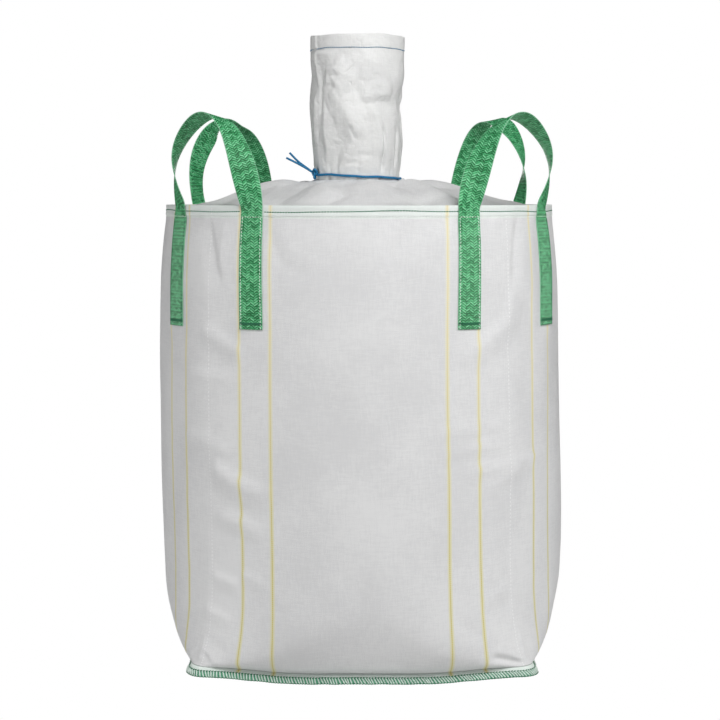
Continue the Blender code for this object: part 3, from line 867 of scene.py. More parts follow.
# Creases of the top, seen from above in metres to the right and to the back: route, left, right, depth
TOP_CREASES = [([(-0.118, -0.060), (-0.190, -0.270), (-0.262, -0.470)], 0.060, 0.075, -0.0149),
               ([(-0.100, -0.085), (-0.110, -0.240), (-0.060, -0.380)], 0.035, 0.045, 0.0095),
               ([(-0.040, -0.125), (-0.030, -0.330), (-0.120, -0.440)], 0.030, 0.045, -0.0068),
               ([(0.020, -0.130), (0.060, -0.300), (0.050, -0.430)], 0.050, 0.040, 0.0081),
               ([(0.075, -0.110), (0.150, -0.260), (0.190, -0.420)], 0.040, 0.040, -0.0095),
               ([(0.120, -0.050), (0.210, -0.250), (0.290, -0.450)], 0.045, 0.080, 0.0149),
               ([(0.135, -0.020), (0.330, -0.230), (0.420, -0.320)], 0.060, 0.060, -0.0108),
               ([(0.135, 0.020), (0.400, -0.060), (0.500, -0.080)], 0.060, 0.060, 0.0121),
               ([(-0.140, 0.0000), (-0.390, -0.110), (-0.490, -0.190)], 0.060, 0.060, 0.0121),
               ([(-0.135, 0.040), (-0.380, 0.100), (-0.490, 0.110)], 0.060, 0.060, -0.0108)]
# Folds of the top's back: direction from the front in degrees, width in degrees, height at the neck, reach
TOP_FOLDS = [(104, 7, -0.008, 0.30), (122, 9, 0.009, 0.36), (143, 8, -0.008, 0.30), (163, 9, 0.009, 0.33),
             (-176, 8, -0.008, 0.30), (-157, 9, 0.009, 0.36), (-137, 7, -0.009, 0.30), (-118, 9, 0.009, 0.34)]


def top_panel_points(angles, count):
    """The tent: a profile from hem to neck, with folds that grow towards the neck."""
    profile = np.array(TOP_PROFILE)
    lengths = path_length(profile)
    even = np.linspace(0.0, lengths[-1], count)
    radius = smooth_curve(np.stack([lengths, profile[:, 0]], axis=1), even)[:, None] + 0.0 * angles
    height = smooth_curve(np.stack([lengths, profile[:, 1]], axis=1), even)[:, None] + 0.0 * angles
    front = degrees_from_front(angles)
    lift = np.zeros_like(radius)
    for direction, width, rise, reach in TOP_FOLDS:
        away = (front - direction + 180.0) % 360.0 - 180.0
        spread = width * (0.7 + 0.5 * (radius - 0.12) / 0.4)
        lift = lift + rise * np.exp(-(away / spread) ** 2) * smoothstep(0.12 + reach, 0.14, radius)
    across, back = radius * np.cos(angles), radius * np.sin(angles)
    for route, left, right, depth in TOP_CREASES:
        lift = lift + crease(across, back, route, left, right, depth)
    waves = 0.0030 * np.sin(5.0 * angles + 14.0 * radius)
    waves = waves + 0.0018 * np.sin(11.0 * angles - 21.0 * radius + 1.0)
    free = smoothstep(0.535, 0.45, radius) * smoothstep(0.132, 0.190, radius)
    # Under the tie the cloth is gathered into short pleats, and one lump of it stands up at the right
    pleats = 0.0022 * np.sin(17.0 * angles + 1.5 * np.sin(3.0 * angles))
    pleats = pleats * bell(radius, 0.138, 0.012)
    lump = 0.0120 * np.exp(-((front - 84.0) / 9.0) ** 2 - ((radius - 0.1335) / 0.006) ** 2)
    height = height + (lift + waves) * free + pleats + lump
    hem_reach, neck_reach = TOP_PROFILE[0][0], TOP_PROFILE[-1][0]
    inward = 1.0 - (radius - neck_reach) / (hem_reach - neck_reach)
    x = across + lean(1.25) + SPOUT_SHIFT * inward
    return np.stack([x, back, height], axis=-1)


top_angles = full_turn(300)
top = disc_surface("top_panel_cloth", top_panel_points(top_angles, 76))
thicken(top, CLOTH_THICKNESS)
dress(top, panel_cloth, "body_cloth", "top_panel")

# %% [markdown]
# ## Filling spout
# The spout is a tube of lighter cloth, 0.42 m long, that stands up by its own stiffness. It has a broad hem
# with a blue row of stitches, a lapped seam down its left front, and long creases from being folded. Stiff
# cloth creases into flat faces that meet in a line, so each crease is a ridge or a valley with straight
# sides, often a steep one and a flat one.

# %% Filling spout
SPOUT_TOP = 1.741
SPOUT_PROFILE = [(1.300, 0.1205), (1.336, 0.1212), (1.356, 0.1210), (1.375, 0.1240), (1.435, 0.1275),
                 (1.545, 0.1295), (1.640, 0.1320), (SPOUT_TOP, 0.1325)]
SPOUT_RADIUS = 0.130
SPOUT_HEM = 0.041
# Creases of the spout, in metres round it from the front, to the right, and metres above the floor: route,
# width on the left, width on the right, depth
SPOUT_CREASES = [([(-0.0110, 1.440), (-0.0174, 1.4828), (-0.0278, 1.5174), (-0.0510, 1.5585),
                   (-0.0720, 1.610)], 0.040, 0.050, 0.0120),
                 ([(-0.0880, 1.345), (-0.0480, 1.425), (-0.0174, 1.4828), (-0.0060, 1.505)],
                  0.036, 0.018, -0.0085),
                 ([(-0.0843, 1.355), (-0.1000, 1.479), (-0.0936, 1.548)], 0.016, 0.024, 0.0052),
                 ([(-0.1500, 1.430), (-0.1380, 1.590)], 0.010, 0.016, 0.0040),
                 ([(-0.1230, 1.590), (-0.1420, 1.690)], 0.009, 0.016, 0.0045),
                 ([(-0.1140, 1.500), (-0.1080, 1.640)], 0.010, 0.010, -0.0035),
                 ([(-0.1550, 1.686), (-0.1000, 1.688), (-0.0560, 1.684)], 0.008, 0.030, 0.0052),
                 ([(-0.0720, 1.594), (-0.0375, 1.6243), (-0.0760, 1.660)], 0.026, 0.040, 0.0110),
                 ([(-0.0890, 1.596), (-0.0860, 1.6243), (-0.0890, 1.652)], 0.008, 0.024, 0.0055),
                 ([(0.1180, 1.566), (0.0857, 1.6051), (0.0574, 1.6517), (0.0080, 1.686)],
                  0.050, 0.022, 0.0055),
                 ([(0.0040, 1.561), (0.0574, 1.573), (0.1180, 1.572)], 0.040, 0.018, 0.0070),
                 ([(0.0857, 1.392), (0.0740, 1.455), (0.0605, 1.5037), (0.0250, 1.558)],
                  0.032, 0.014, 0.0065),
                 ([(0.0850, 1.330), (0.0850, 1.400), (0.0850, 1.500)], 0.010, 0.006, -0.0085),
                 ([(0.1360, 1.350), (0.1390, 1.490)], 0.012, 0.009, -0.0045),
                 ([(-0.0230, 1.488), (-0.0020, 1.444)], 0.008, 0.006, -0.0030),
                 ([(-0.0100, 1.4045), (0.0500, 1.4045)], 0.012, 0.010, -0.0026),
                 ([(-0.0380, 1.3840), (0.0180, 1.3840)], 0.011, 0.009, -0.0026),
                 ([(0.1900, 1.420), (0.2300, 1.660)], 0.030, 0.016, -0.0070),
                 ([(0.3000, 1.430), (0.2700, 1.560), (0.3000, 1.670)], 0.040, 0.026, 0.0090),
                 ([(0.3850, 1.380), (0.3550, 1.600)], 0.014, 0.024, -0.0070),
                 ([(-0.2600, 1.400), (-0.3000, 1.540), (-0.2500, 1.670)], 0.030, 0.040, 0.0090),
                 ([(-0.3550, 1.400), (-0.3300, 1.580)], 0.020, 0.014, -0.0070),
                 ([(-0.2050, 1.380), (-0.2100, 1.600)], 0.014, 0.012, -0.0050),
                 ([(0.2000, 1.560), (0.3400, 1.600)], 0.030, 0.018, 0.0050),
                 ([(-0.3400, 1.620), (-0.2200, 1.580)], 0.018, 0.030, -0.0050)]
# Pleats under the tie: metres round from the front, half width, depth
PLEATS = [(-0.088, 0.007, 0.006), (-0.060, 0.005, 0.003), (0.004, 0.006, 0.003), (0.078, 0.006, 0.006),
          (0.118, 0.007, 0.004), (0.170, 0.008, 0.005), (0.240, 0.008, 0.005), (0.310, 0.009, 0.005),
          (0.375, 0.008, 0.004), (-0.150, 0.007, 0.004), (-0.215, 0.008, 0.005), (-0.290, 0.009, 0.005),
          (-0.360, 0.008, 0.005)]


def spout_radius(angles, height):
    """Outer radius of the spout: its profile, its swell to each side, its creases and its pleats."""
    front = np.radians(degrees_from_front(angles))
    across = front * SPOUT_RADIUS
    radius = smooth_curve(SPOUT_PROFILE, height) + 0.0 * across
    left, right = np.maximum(-np.sin(front), 0.0) ** 2, np.maximum(np.sin(front), 0.0) ** 2
    radius += left * (0.0050 * bell(height, 1.540, 0.045) - 0.0040 * bell(height, 1.630, 0.03)
                      - 0.0030 * bell(height, 1.400, 0.03))
    radius += right * (-0.0075 * bell(height, 1.555, 0.035) + 0.0030 * bell(height, 1.630, 0.03)
                       + 0.0035 * bell(height, 1.440, 0.035))
    free = smoothstep(1.352, 1.380, height) * smoothstep(1.712, 1.690, height)
    for route, left_width, right_width, depth in SPOUT_CREASES:
        radius = radius + free * crease(across, height, route, left_width, right_width, depth)
    for place, width, depth in PLEATS:
        near = smoothstep(1.300, 1.335, height) * smoothstep(1.440, 1.352, height)
        radius = radius - near * depth * 0.6 * bell(across, place, width)
    wave = 0.0016 * np.sin(3.0 * angles + 8.0 * height) + 0.0010 * np.sin(7.0 * angles - 17.0 * height + 0.5)
    radius = radius + wave * smoothstep(1.36, 1.42, height)
    hem = 0.0008 * smoothstep(SPOUT_TOP - SPOUT_HEM - 0.002, SPOUT_TOP - SPOUT_HEM + 0.002, height)
    drawn = -0.0006 * bell(height, 1.7015, 0.0035) * (1.0 + 0.6 * np.sin(angles * 47.0))
    # The hem's ends overlap in a narrow flap at the left, which stands off a little
    flap = 0.0022 * smoothstep(-0.1290, -0.1315, across) * smoothstep(-0.1700, -0.1560, across)
    flap = flap * smoothstep(1.699, 1.703, height)
    seam = 0.0009 * smoothstep(-0.1300, -0.1320, across) * smoothstep(-0.1640, -0.1620, across)
    return radius + hem + drawn + seam + flap


def spout_point(angles, height, off=0.0):
    """A point on the outside of the spout, or off it by a distance."""
    angles, height = np.broadcast_arrays(angles, height)
    radius = spout_radius(angles, height) + off
    return on_circle(angles, radius, height, SPOUT_AXIS)


def spout_rim(angles):
    """How much lower the top edge is at each direction: the edge is a little wavy."""
    return 0.0012 + 0.0012 * np.sin(3.0 * angles + 1.2) + 0.0008 * np.sin(7.0 * angles)


SPOUT_COLUMNS = 330
spout_steps = np.arange(SPOUT_COLUMNS + 1) * 2.0 * math.pi / SPOUT_COLUMNS
spout_turn = spout_steps - 0.32 * np.sin(spout_steps - FRONT)
spout_angles = spout_turn[:-1]
spout_levels = np.concatenate([np.linspace(1.300, 1.694, 124), [1.697, 1.699, 1.7005, 1.702, 1.704],
                               np.linspace(1.708, 1.7385, 9)])
spout_rows = []
for level in spout_levels:
    share = smoothstep(1.69, 1.74, level)
    spout_rows.append(spout_point(spout_angles, level - share * spout_rim(spout_angles)))
rim_row = spout_rows[-1]
outward = on_circle(spout_angles, 1.0, 0.0)
for inward, rise in ((0.0004, 0.0007), (0.0010, 0.0011), (0.0017, 0.0007), (0.0020, -0.002), (0.0020, -0.015),
                     (0.0020, -0.038)):
    spout_rows.append(rim_row - outward * inward + [0.0, 0.0, rise])
spout_points = np.array(spout_rows)
spout_up = path_length(spout_points[:, 0])[:, None]
spout_around = spout_turn * SPOUT_RADIUS
spout = grid_surface("filling_spout_cloth", spout_points, spout_around, spout_up, wrap=True)
thicken(spout, 0.0006)
dress(spout, spout_cloth, "spout_cloth", "filling_spout")

# %% [markdown]
# ## Lifting loops
# Each loop is one strap of webbing. Its two legs are sewn flat on the round wall, and between them it stands
# up in an arch by its own stiffness. The strap turns over as it goes: along a leg it faces outwards, and at
# the top of the arch it faces up. It is a flat section with round edges, carried along the middle line.

# %% Strap path
STRAP_WIDTH = 0.068
STRAP_THICKNESS = 0.0022
STRAP_OFF = 0.0006 + STRAP_THICKNESS / 2.0      # from the wall to the middle of a sewn strap
SEWN_TOP = RIM_HEIGHT - HEM_WIDTH - 0.002


def strap_line(legs, count=200):
    """Middle line of a strap and the way it faces: up one leg, over the arch, down the other."""
    first, second, height, leaning, swell, inner_swell, shift, late, side_turn, tilt = legs
    legs_up = []
    for degrees, foot in zip((first, second), FOOT_RISE):
        levels = np.linspace(STRAP_FOOT + foot, RIM_HEIGHT, 60)
        angle = np.radians(degrees)
        legs_up.append(wall_point(angle + drift(angle, levels), levels, STRAP_OFF))
    start, end = legs_up[0][-1], legs_up[1][-1]
    chord = end - start
    half = np.linalg.norm(chord) / 2.0
    along = chord / (2.0 * half)
    middle = (start + end) / 2.0
    out = unit(middle * [1.0, 1.0, 0.0])
    turn = np.linspace(0.0, math.pi, 121)[1:-1]
    low = np.where(turn > math.pi / 2.0, -np.sin(2.0 * turn) * np.cos(turn) ** 2, 0.0)
    low_inner = np.where(turn < math.pi / 2.0, np.sin(2.0 * turn) * np.cos(turn) ** 2, 0.0)
    across = -half * np.cos(turn) + swell * low - inner_swell * low_inner
    rise = height * np.sin(turn)
    arch = middle + np.outer(across, along) + np.outer(rise, [0.0, 0.0, 1.0]) + np.outer(rise * leaning, out)
    path = np.vstack([legs_up[0], arch, legs_up[1][::-1]])
    lengths = path_length(path)
    even = np.linspace(0.0, lengths[-1], count)
    line = at_lengths(path, lengths, even)
    first_end, last_start = lengths[59], lengths[-60]
    tangent = unit(np.gradient(line, axis=0))
    side = unit(np.cross(tangent, out))
    away = np.cross(side, tangent)
    upward = np.sign(np.cross(along, out)[2])
    from_top = np.clip(2.0 * (even - first_end) / (last_start - first_end) - 1.0, -1.0, 1.0)
    from_top = (from_top - shift) / np.where(from_top > shift, 1.0 - shift, 1.0 + shift)
    leg_turn = math.pi / 2.0 - math.asin(half / math.hypot(middle[0], middle[1]))
    turned = np.abs(from_top) ** late * (leg_turn + math.radians(tilt)) - math.radians(tilt)
    # The side half turns a little ahead where it comes down to its leg
    turned = turned + math.radians(LEG_LEAD) * bell(from_top, 0.74, 0.16)
    if side_turn:
        held = smoothstep(0.0, 0.4, from_top) * smoothstep(1.0, 0.5, from_top)
        turned = turned + held * (math.radians(side_turn) - turned)
    facing = np.cos(turned)[:, None] * upward * side + np.sin(turned)[:, None] * away
    for degrees, sewn in ((first, even < first_end), (second, even > last_start)):
        facing[sewn] = [math.cos(math.radians(degrees)), math.sin(math.radians(degrees)), 0.0]
    kernel = np.hanning(15) / np.hanning(15).sum()
    padded = np.pad(facing, ((7, 7), (0, 0)), mode="edge")
    facing = np.stack([np.convolve(padded[:, axis], kernel, mode="valid") for axis in range(3)], axis=1)
    facing = unit(facing - (facing * tangent).sum(axis=1)[:, None] * tangent)
    return line, tangent, facing, even


def strap_section(steps=9):
    """The webbing's section: points round a flat bar with round edges, as across and depth, and their map."""
    half, thick = STRAP_WIDTH / 2.0, STRAP_THICKNESS / 2.0
    flat = np.linspace(-half + thick, half - thick, steps)
    bend = np.linspace(math.pi / 2.0, -math.pi / 2.0, 5)[1:-1]
    across = np.concatenate([flat, half - thick + thick * np.cos(bend), flat[::-1],
                             -half + thick - thick * np.cos(bend)])
    depth = np.concatenate([np.full(steps, thick), thick * np.sin(bend), np.full(steps, -thick),
                            -thick * np.sin(bend)])
    return across, depth


def strap_place(legs, across, line, tangent, facing, depth):
    """A point on a strap: flat across the line where it is free, and bent round the wall where it is sewn."""
    width = np.cross(tangent, facing)
    free = line[:, None] + width[:, None] * across[None, :, None] + facing[:, None] * depth[None, :, None]
    height = np.broadcast_to(line[:, 2:3], free.shape[:2])
    placed = free
    for degrees, part in ((legs[0], slice(None, len(line) // 2)), (legs[1], slice(len(line) // 2, None))):
        sign = 1.0 if part.start is None else -1.0
        level = np.minimum(height[part], RIM_HEIGHT)
        leg = np.radians(degrees)
        angles = leg + drift(leg, level) + sign * across[None, :] / MEAN_RADIUS
        sewn = wall_point(angles, level, STRAP_OFF + depth[None, :])
        sewn[..., 2] = height[part]
        share = smoothstep(1.240, 1.282, height[part])[..., None]
        placed[part] = sewn * (1.0 - share) + free[part] * share
    return placed


def make_strap(name, legs):
    """One loop's webbing, closed at both feet."""
    line, tangent, facing, along = strap_line(legs)
    across, depth = strap_section()
    points = strap_place(legs, across, line, tangent, facing, depth)
    ends = [points[0].mean(axis=0) + 0.02 * (points[0] - points[0].mean(axis=0)),
            points[-1].mean(axis=0) + 0.02 * (points[-1] - points[-1].mean(axis=0))]
    points = np.concatenate([[ends[0]], points, [ends[1]]])
    along = np.concatenate([[along[0]], along, [along[-1]]])
    round_section = np.append(across, across[0])[None, :]
    strap = grid_surface("webbing_" + name, points, round_section, along[:, None], wrap=True)
    dress(strap, green_webbing, "loop_webbing", "lift_loop_" + name)
    print("strap length:", round(float(along[-1]), 3))


for loop_name, loop_legs in LOOPS.items():
    make_strap(loop_name, loop_legs)

# %% [markdown]
# ## Tie
# One length of cord goes round the foot of the spout and is closed by a knot at its left front. Its two ends
# stand up from the knot by their own stiffness. The ring lies in the spout's own outline, so it follows the
# pleats. The knot is a short piece of cord wound round itself, as an overhand knot is.

# %% Cord surfaces
TIE_HEIGHT = 1.3475
TIE_DROP = 0.011
TIE_CORD = 0.006
NECK_RADIUS = 0.1215           # the spout's own radius under the tie
RING_RADIUS = 0.0034           # the cord is pressed flat against the spout and looks a little thicker there
KNOT_DIRECTION = math.radians(206.0)
KNOT_RADIUS = 0.010
KNOT_RISE = 0.004
UPPER_TAIL = [(-0.0085, 0.0030, 0.0040), (-0.022, 0.002, 0.014), (-0.045, 0.000, 0.031),
              (-0.070, -0.001, 0.056)]
LOWER_TAIL = [(-0.0085, -0.0036, 0.0035), (-0.022, -0.006, 0.012), (-0.047, -0.007, 0.026),
              (-0.079, -0.006, 0.042)]


def carried_frame(tangent):
    """Two directions across a line that turn with it as little as they can."""
    first = np.zeros_like(tangent)
    start = np.cross(tangent[0], [0.0, 0.0, 1.0])
    if np.linalg.norm(start) < 1e-6:
        start = np.array([1.0, 0.0, 0.0])
    first[0] = unit(start)
    for index in range(1, len(tangent)):
        kept = first[index - 1] - tangent[index] * (first[index - 1] @ tangent[index])
        first[index] = kept / np.linalg.norm(kept)
    return first, np.cross(tangent, first)


def tube(name, line, radius, sides=12, closed=False):
    """A round cord along a line: rings across it, closed by small rings at free ends."""
    line = np.asarray(line)
    tangent = np.gradient(line, axis=0)
    if closed:
        tangent = np.roll(line, -1, axis=0) - np.roll(line, 1, axis=0)
    tangent = unit(tangent)
    first, second = carried_frame(tangent)
    turn = full_turn(sides)
    spread = np.cos(turn)[None, :, None] * first[:, None] + np.sin(turn)[None, :, None] * second[:, None]
    radii = np.broadcast_to(radius, len(line)).astype(float)
    points = line[:, None] + radii[:, None, None] * spread
    along = path_length(line)
    if not closed:
        # Two small rings round off each end: how far out they lie, and their size, both in radii
        end_rings = (0, [(-0.45, 0.02), (-0.30, 0.75)]), (-1, [(0.30, 0.75), (0.45, 0.02)])
        begin, finish = [[line[i] + tangent[i] * radii[i] * shift + spread[i] * radii[i] * size
                          for shift, size in rings] for i, rings in end_rings]
        points = np.concatenate([begin, points, finish])
        along = np.concatenate([[along[0]] * 2, along, [along[-1]] * 2])
    else:
        along = np.append(along, along[-1] + np.linalg.norm(line[0] - line[-1]))
    across = np.arange(sides + 1) / sides * 2.0 * math.pi * radii.mean()
    return grid_surface(name, points, across[None, :], along[:, None], wrap=True, wrap_rows=closed,
                        inside_out=True)


def through(route, spacing):
    """Evenly spaced points on a smooth curve through a route's own points."""
    route = np.array(route, dtype=float)
    place = path_length(route)
    fine = np.linspace(0.0, place[-1], 400)
    curve = np.stack([smooth_curve(np.stack([place, route[:, axis]], axis=1), fine) for axis in range(3)],
                     axis=1)
    lengths = path_length(curve)
    even = np.linspace(0.0, lengths[-1], max(8, round(lengths[-1] / spacing) + 1))
    return at_lengths(curve, lengths, even)


# %% Tie ring, knot and ends
def tie_level(x):
    """Height of the tilted ring at a place across the bag."""
    return TIE_HEIGHT - (x - SPOUT_AXIS) * TIE_DROP / (2.0 * NECK_RADIUS)


ring_angles = full_turn(200)
ring_reach = spout_radius(ring_angles, np.full_like(ring_angles, TIE_HEIGHT)) + RING_RADIUS + 0.0002
ring_x = ring_reach * np.cos(ring_angles) + SPOUT_AXIS
ring_wave = 0.0008 * np.sin(5.0 * ring_angles) + 0.0005 * np.sin(11.0 * ring_angles + 1.0)
ring = np.stack([ring_x, ring_reach * np.sin(ring_angles), tie_level(ring_x) + ring_wave], axis=1)
tie = tube("tie_ring", ring, RING_RADIUS, closed=True)
dress(tie, blue_cord, "tie_cord", "tie_cord")

knot_reach = NECK_RADIUS + 0.0006 + KNOT_RADIUS
knot_out = np.array([math.cos(KNOT_DIRECTION), math.sin(KNOT_DIRECTION), 0.0])
knot = knot_out * knot_reach + [SPOUT_SHIFT, 0.0, 0.0]
knot[2] = TIE_HEIGHT - TIE_DROP / (2.0 * NECK_RADIUS) * knot_reach * knot_out[0] + KNOT_RISE
knot_shift = np.array([float(lean(1.35)), 0.0, 0.0])
turn = np.linspace(0.0, 2.0 * math.pi, 90, endpoint=False)
bow = np.stack([np.sin(turn) + 2.0 * np.sin(2.0 * turn), np.cos(turn) - 2.0 * np.cos(2.0 * turn),
                -np.sin(3.0 * turn)], axis=1)
along_ring = np.cross([0.0, 0.0, 1.0], knot_out)
knot_line = (knot + knot_shift + bow[:, :1] * along_ring * 0.0030 + bow[:, 1:2] * np.array([0.0, 0.0, 0.0052])
             + bow[:, 2:] * knot_out * 0.0036)
knot_piece = tube("tie_knot", knot_line, TIE_CORD / 2.0 * 0.95, closed=True)
dress(knot_piece, blue_cord, "tie_cord")

for tail_name, route in (("upper", UPPER_TAIL), ("lower", LOWER_TAIL)):
    route = [knot + knot_shift + np.array(point) for point in route]
    line = through(route, 0.0025)
    tail = tube("tie_tail_" + tail_name + "_cord", line, TIE_CORD / 2.0)
    dress(tail, blue_cord, "tie_cord", "tie_tail_" + tail_name)

# %% [markdown]
# ## Threads
# Every seam is held by real stitches. A stitch is a short, thick spindle of thread whose ends dip into the
# cloth, and a row of them is one mesh: the spindle's points are worked out once, then turned and moved to all
# the places of the row at the same time.


# %% Rows of stitches
def stitch_row(name, middles, along, out, length, radius, material, slot):
    """Stitches as one mesh: each is a spindle along its own direction, arched out of the cloth."""
    along, out = unit(along), unit(out)
    side = np.cross(along, out)
    share = np.array([-1.0, -0.8, -0.4, 0.0, 0.4, 0.8, 1.0])
    thick = radius * np.array([0.15, 0.75, 1.0, 1.05, 1.0, 0.75, 0.15])
    arch = radius * 0.5 * (1.0 - share ** 2) - radius * 0.4
    turn = np.arange(6) * math.pi / 3.0
    local = np.stack([np.repeat(share[:, None] * length / 2.0, 6, axis=1), thick[:, None] * np.cos(turn),
                      arch[:, None] + thick[:, None] * np.sin(turn)], axis=-1).reshape(-1, 3)
    points = (middles[:, None] + local[None, :, :1] * along[:, None] + local[None, :, 1:2] * side[:, None]
              + local[None, :, 2:] * out[:, None])
    ring, around = np.meshgrid(np.arange(6), np.arange(6), indexing="ij")
    after = (around + 1) % 6
    quads = np.stack([ring * 6 + around, ring * 6 + after, (ring + 1) * 6 + after, (ring + 1) * 6 + around],
                     axis=-1).reshape(-1, 4)
    caps = [[5, 4, 3, 2, 1, 0], [36, 37, 38, 39, 40, 41]]
    count = len(middles)
    faces = (quads[None] + 42 * np.arange(count)[:, None, None]).reshape(-1, 4).tolist()
    faces += [[corner + 42 * index for corner in cap] for index in range(count) for cap in caps]
    cloth = np.stack([np.broadcast_to(local[:, 0], (count, 42)) + 0.013 * np.arange(count)[:, None],
                      np.broadcast_to(np.tile(turn * radius, 7), (count, 42))], axis=-1).reshape(-1, 2)
    corners = np.array([corner for face in faces for corner in face])
    row = make_mesh(name, points.reshape(-1, 3), faces, cloth[corners][:, ::-1])
    dress(row, material, slot)


def row_round(height, pitch, wander=0.0):
    """Places, directions and outward sides for a row of stitches round the tube."""
    count = round(GIRTH / pitch)
    angles = full_turn(count)
    level = height + wander * (np.sin(4.0 * angles + 0.5) + 0.6 * np.sin(9.0 * angles + 2.0)
                               + 0.4 * np.sin(17.0 * angles))
    middle = wall_point(angles, level)
    ahead = wall_point(angles + 0.002, level)
    out = on_circle(angles, 1.0, 0.0)
    return angles, middle, ahead - middle, out


def away_from_straps(angles, margin):
    """True where a direction isn't under a strap."""
    clear = np.ones(len(angles), dtype=bool)
    for legs in LOOPS.values():
        for degrees in legs[:2]:
            off = np.abs((angles - math.radians(degrees) + math.pi) % (2.0 * math.pi) - math.pi) * MEAN_RADIUS
            clear &= off > margin
    return clear


row_angles, middle, ahead, out = row_round(RIM_ROW, 0.0078, 0.0015)
keep = away_from_straps(row_angles, STRAP_WIDTH / 2.0 + 0.002)
stitch_row("rim_stitches", middle[keep], ahead[keep], out[keep], 0.0079, 0.0013, dark_green_thread,
           "body_cloth")

row_angles, middle, ahead, out = row_round(SEWN_TOP, 0.0085, 0.0004)
over = ~away_from_straps(row_angles, STRAP_WIDTH / 2.0 - 0.002)
middle = middle + out * np.where(over, STRAP_THICKNESS + 0.0008, 0.0)[:, None]
stitch_row("hem_stitches", middle, ahead, out, 0.0062, 0.0010, white_thread, "body_cloth")

# %% [markdown]
# ### Stitches on the straps
# Each leg is held by two long rows near its edges, and by a bar of dark stitches across its foot. They lie
# on the webbing, so they are placed on the round wall plus the strap's thickness.


# %% Strap stitches
def on_strap(degrees, across, height):
    """A point on the outer face of a sewn leg."""
    angle = np.radians(degrees) + drift(np.radians(degrees), height)
    return wall_point(angle + across / MEAN_RADIUS, height, STRAP_THICKNESS + 0.0007)


def strap_threads(name, legs):
    """The long rows and the bar of each leg: the inner leg's rows are of pale thread, the rest of dark."""
    pale, dark = ([], [], []), ([], [], [])
    for degrees, foot, rows in zip(legs[:2], FOOT_RISE, (pale, dark)):
        out = np.array([math.cos(math.radians(degrees)), math.sin(math.radians(degrees)), 0.0])
        side = np.array([-out[1], out[0], 0.0])
        for across in (-STRAP_WIDTH / 2.0 + 0.0055, STRAP_WIDTH / 2.0 - 0.0055):
            levels = np.arange(STRAP_FOOT + foot + 0.004, SEWN_TOP - 0.004, 0.0088)
            rows[0].append(on_strap(degrees, across, levels))
            rows[1].append(np.tile([0.0, 0.0, 1.0], (len(levels), 1)))
            rows[2].append(np.tile(out, (len(levels), 1)))
        for level in (0.0125, 0.0150, 0.0170):
            places = np.arange(-STRAP_WIDTH / 2.0 + 0.004, STRAP_WIDTH / 2.0 - 0.003, 0.0050)
            dark[0].append(on_strap(degrees, places, STRAP_FOOT + foot + level))
            dark[1].append(np.tile(side, (len(places), 1)))
            dark[2].append(np.tile(out, (len(places), 1)))
    for row_name, rows, radius, thread in (("strap_rows_", pale, 0.0010, mint_thread),
                                           ("strap_stitches_", dark, 0.0012, dark_green_thread)):
        stitch_row(row_name + name, *[np.concatenate(part) for part in rows], 0.0066, radius, thread,
                   "loop_webbing")


for loop_name, loop_legs in LOOPS.items():
    strap_threads(loop_name, loop_legs)

# %% [markdown]
# ### Overlock round the base
# The raw edges of body and base are closed by an overlock: green thread runs along the top of the band and
# along its edge, and pale loops slant across between them. Each loop is its own short tube that starts
# outside, goes down over the edge and comes up on the inside, all the way round the base.

# %% Overlock
OVERLOCK_PITCH = 0.0080


def seam_skirt(angles, share, off):
    """A point on the outside of the seam's allowance, or off it by a distance."""
    radius, height = allowance(angles, share)
    return on_circle(angles, radius + off, height, lean(0.0))


def even_directions(pitch):
    """Directions at even steps along the seam's edge."""
    fine = np.linspace(0.0, 2.0 * math.pi, 4001)
    lengths = path_length(seam_skirt(fine, np.zeros(4001), 0.0))
    count = round(lengths[-1] / pitch)
    return np.interp(np.arange(count) * lengths[-1] / count, lengths, fine), lengths[-1]


overlock_angles, edge_length = even_directions(OVERLOCK_PITCH)
print("edge of the base seam:", round(float(edge_length), 3), "stitches:", len(overlock_angles))
# The bed's section, outside, round the edge and inside: share up the allowance, and distance off it
BED = [(0.645, 0.0002), (0.62, 0.0010), (0.50, 0.0013), (0.30, 0.0013), (0.06, 0.0012), (-0.02, 0.0002),
       (-0.03, -0.0030), (0.10, -0.0044), (0.35, -0.0046), (0.55, -0.0044), (0.64, -0.0030)]
bed_angles, bed_length = even_directions(0.006)
bed_points = np.array([seam_skirt(bed_angles, np.full_like(bed_angles, share), off) for share, off in BED])
bed_points[..., 2] = np.maximum(bed_points[..., 2], 0.0002)
bed_along = np.linspace(0.0, bed_length, len(bed_angles) + 1)
bed_across = path_length(bed_points[:, 0])
bed = grid_surface("overlock_bed", bed_points, bed_across[:, None], bed_along[None, :], wrap=True,
                   inside_out=True)
dress(bed, green_thread, "body_cloth")


def overlock_loops(angles, slant):
    """Middle lines of the pale loops: down the outside on a slant, over the edge, and up the inside."""
    share = np.array([0.62, 0.53, 0.40, 0.26, 0.12, 0.00, -0.035, 0.06, 0.25, 0.45, 0.60])
    off = np.array([0.0012, 0.0021, 0.0024, 0.0024, 0.0021, 0.0010, -0.0022, -0.0052, -0.0056, -0.0054,
                    -0.0044])
    lag = np.array([0.00, 0.14, 0.30, 0.46, 0.60, 0.70, 0.76, 0.82, 0.90, 0.96, 1.0])
    step = np.gradient(angles)[:, None]
    # No two loops are drawn in quite alike, so their slant and spacing vary a little
    uneven = 0.5 * np.sin(37.0 * angles + 3.0 * np.sin(11.0 * angles)) + 0.3 * np.sin(101.0 * angles + 1.0)
    lean_over = lag[None, :] * (slant + 0.5 * uneven[:, None])
    places = angles[:, None] + (lean_over - 0.5 + 0.1 * uneven[:, None]) * step
    points = seam_skirt(places, np.broadcast_to(share, places.shape), np.broadcast_to(off, places.shape))
    points[..., 2] = np.maximum(points[..., 2], 0.0008)
    return points


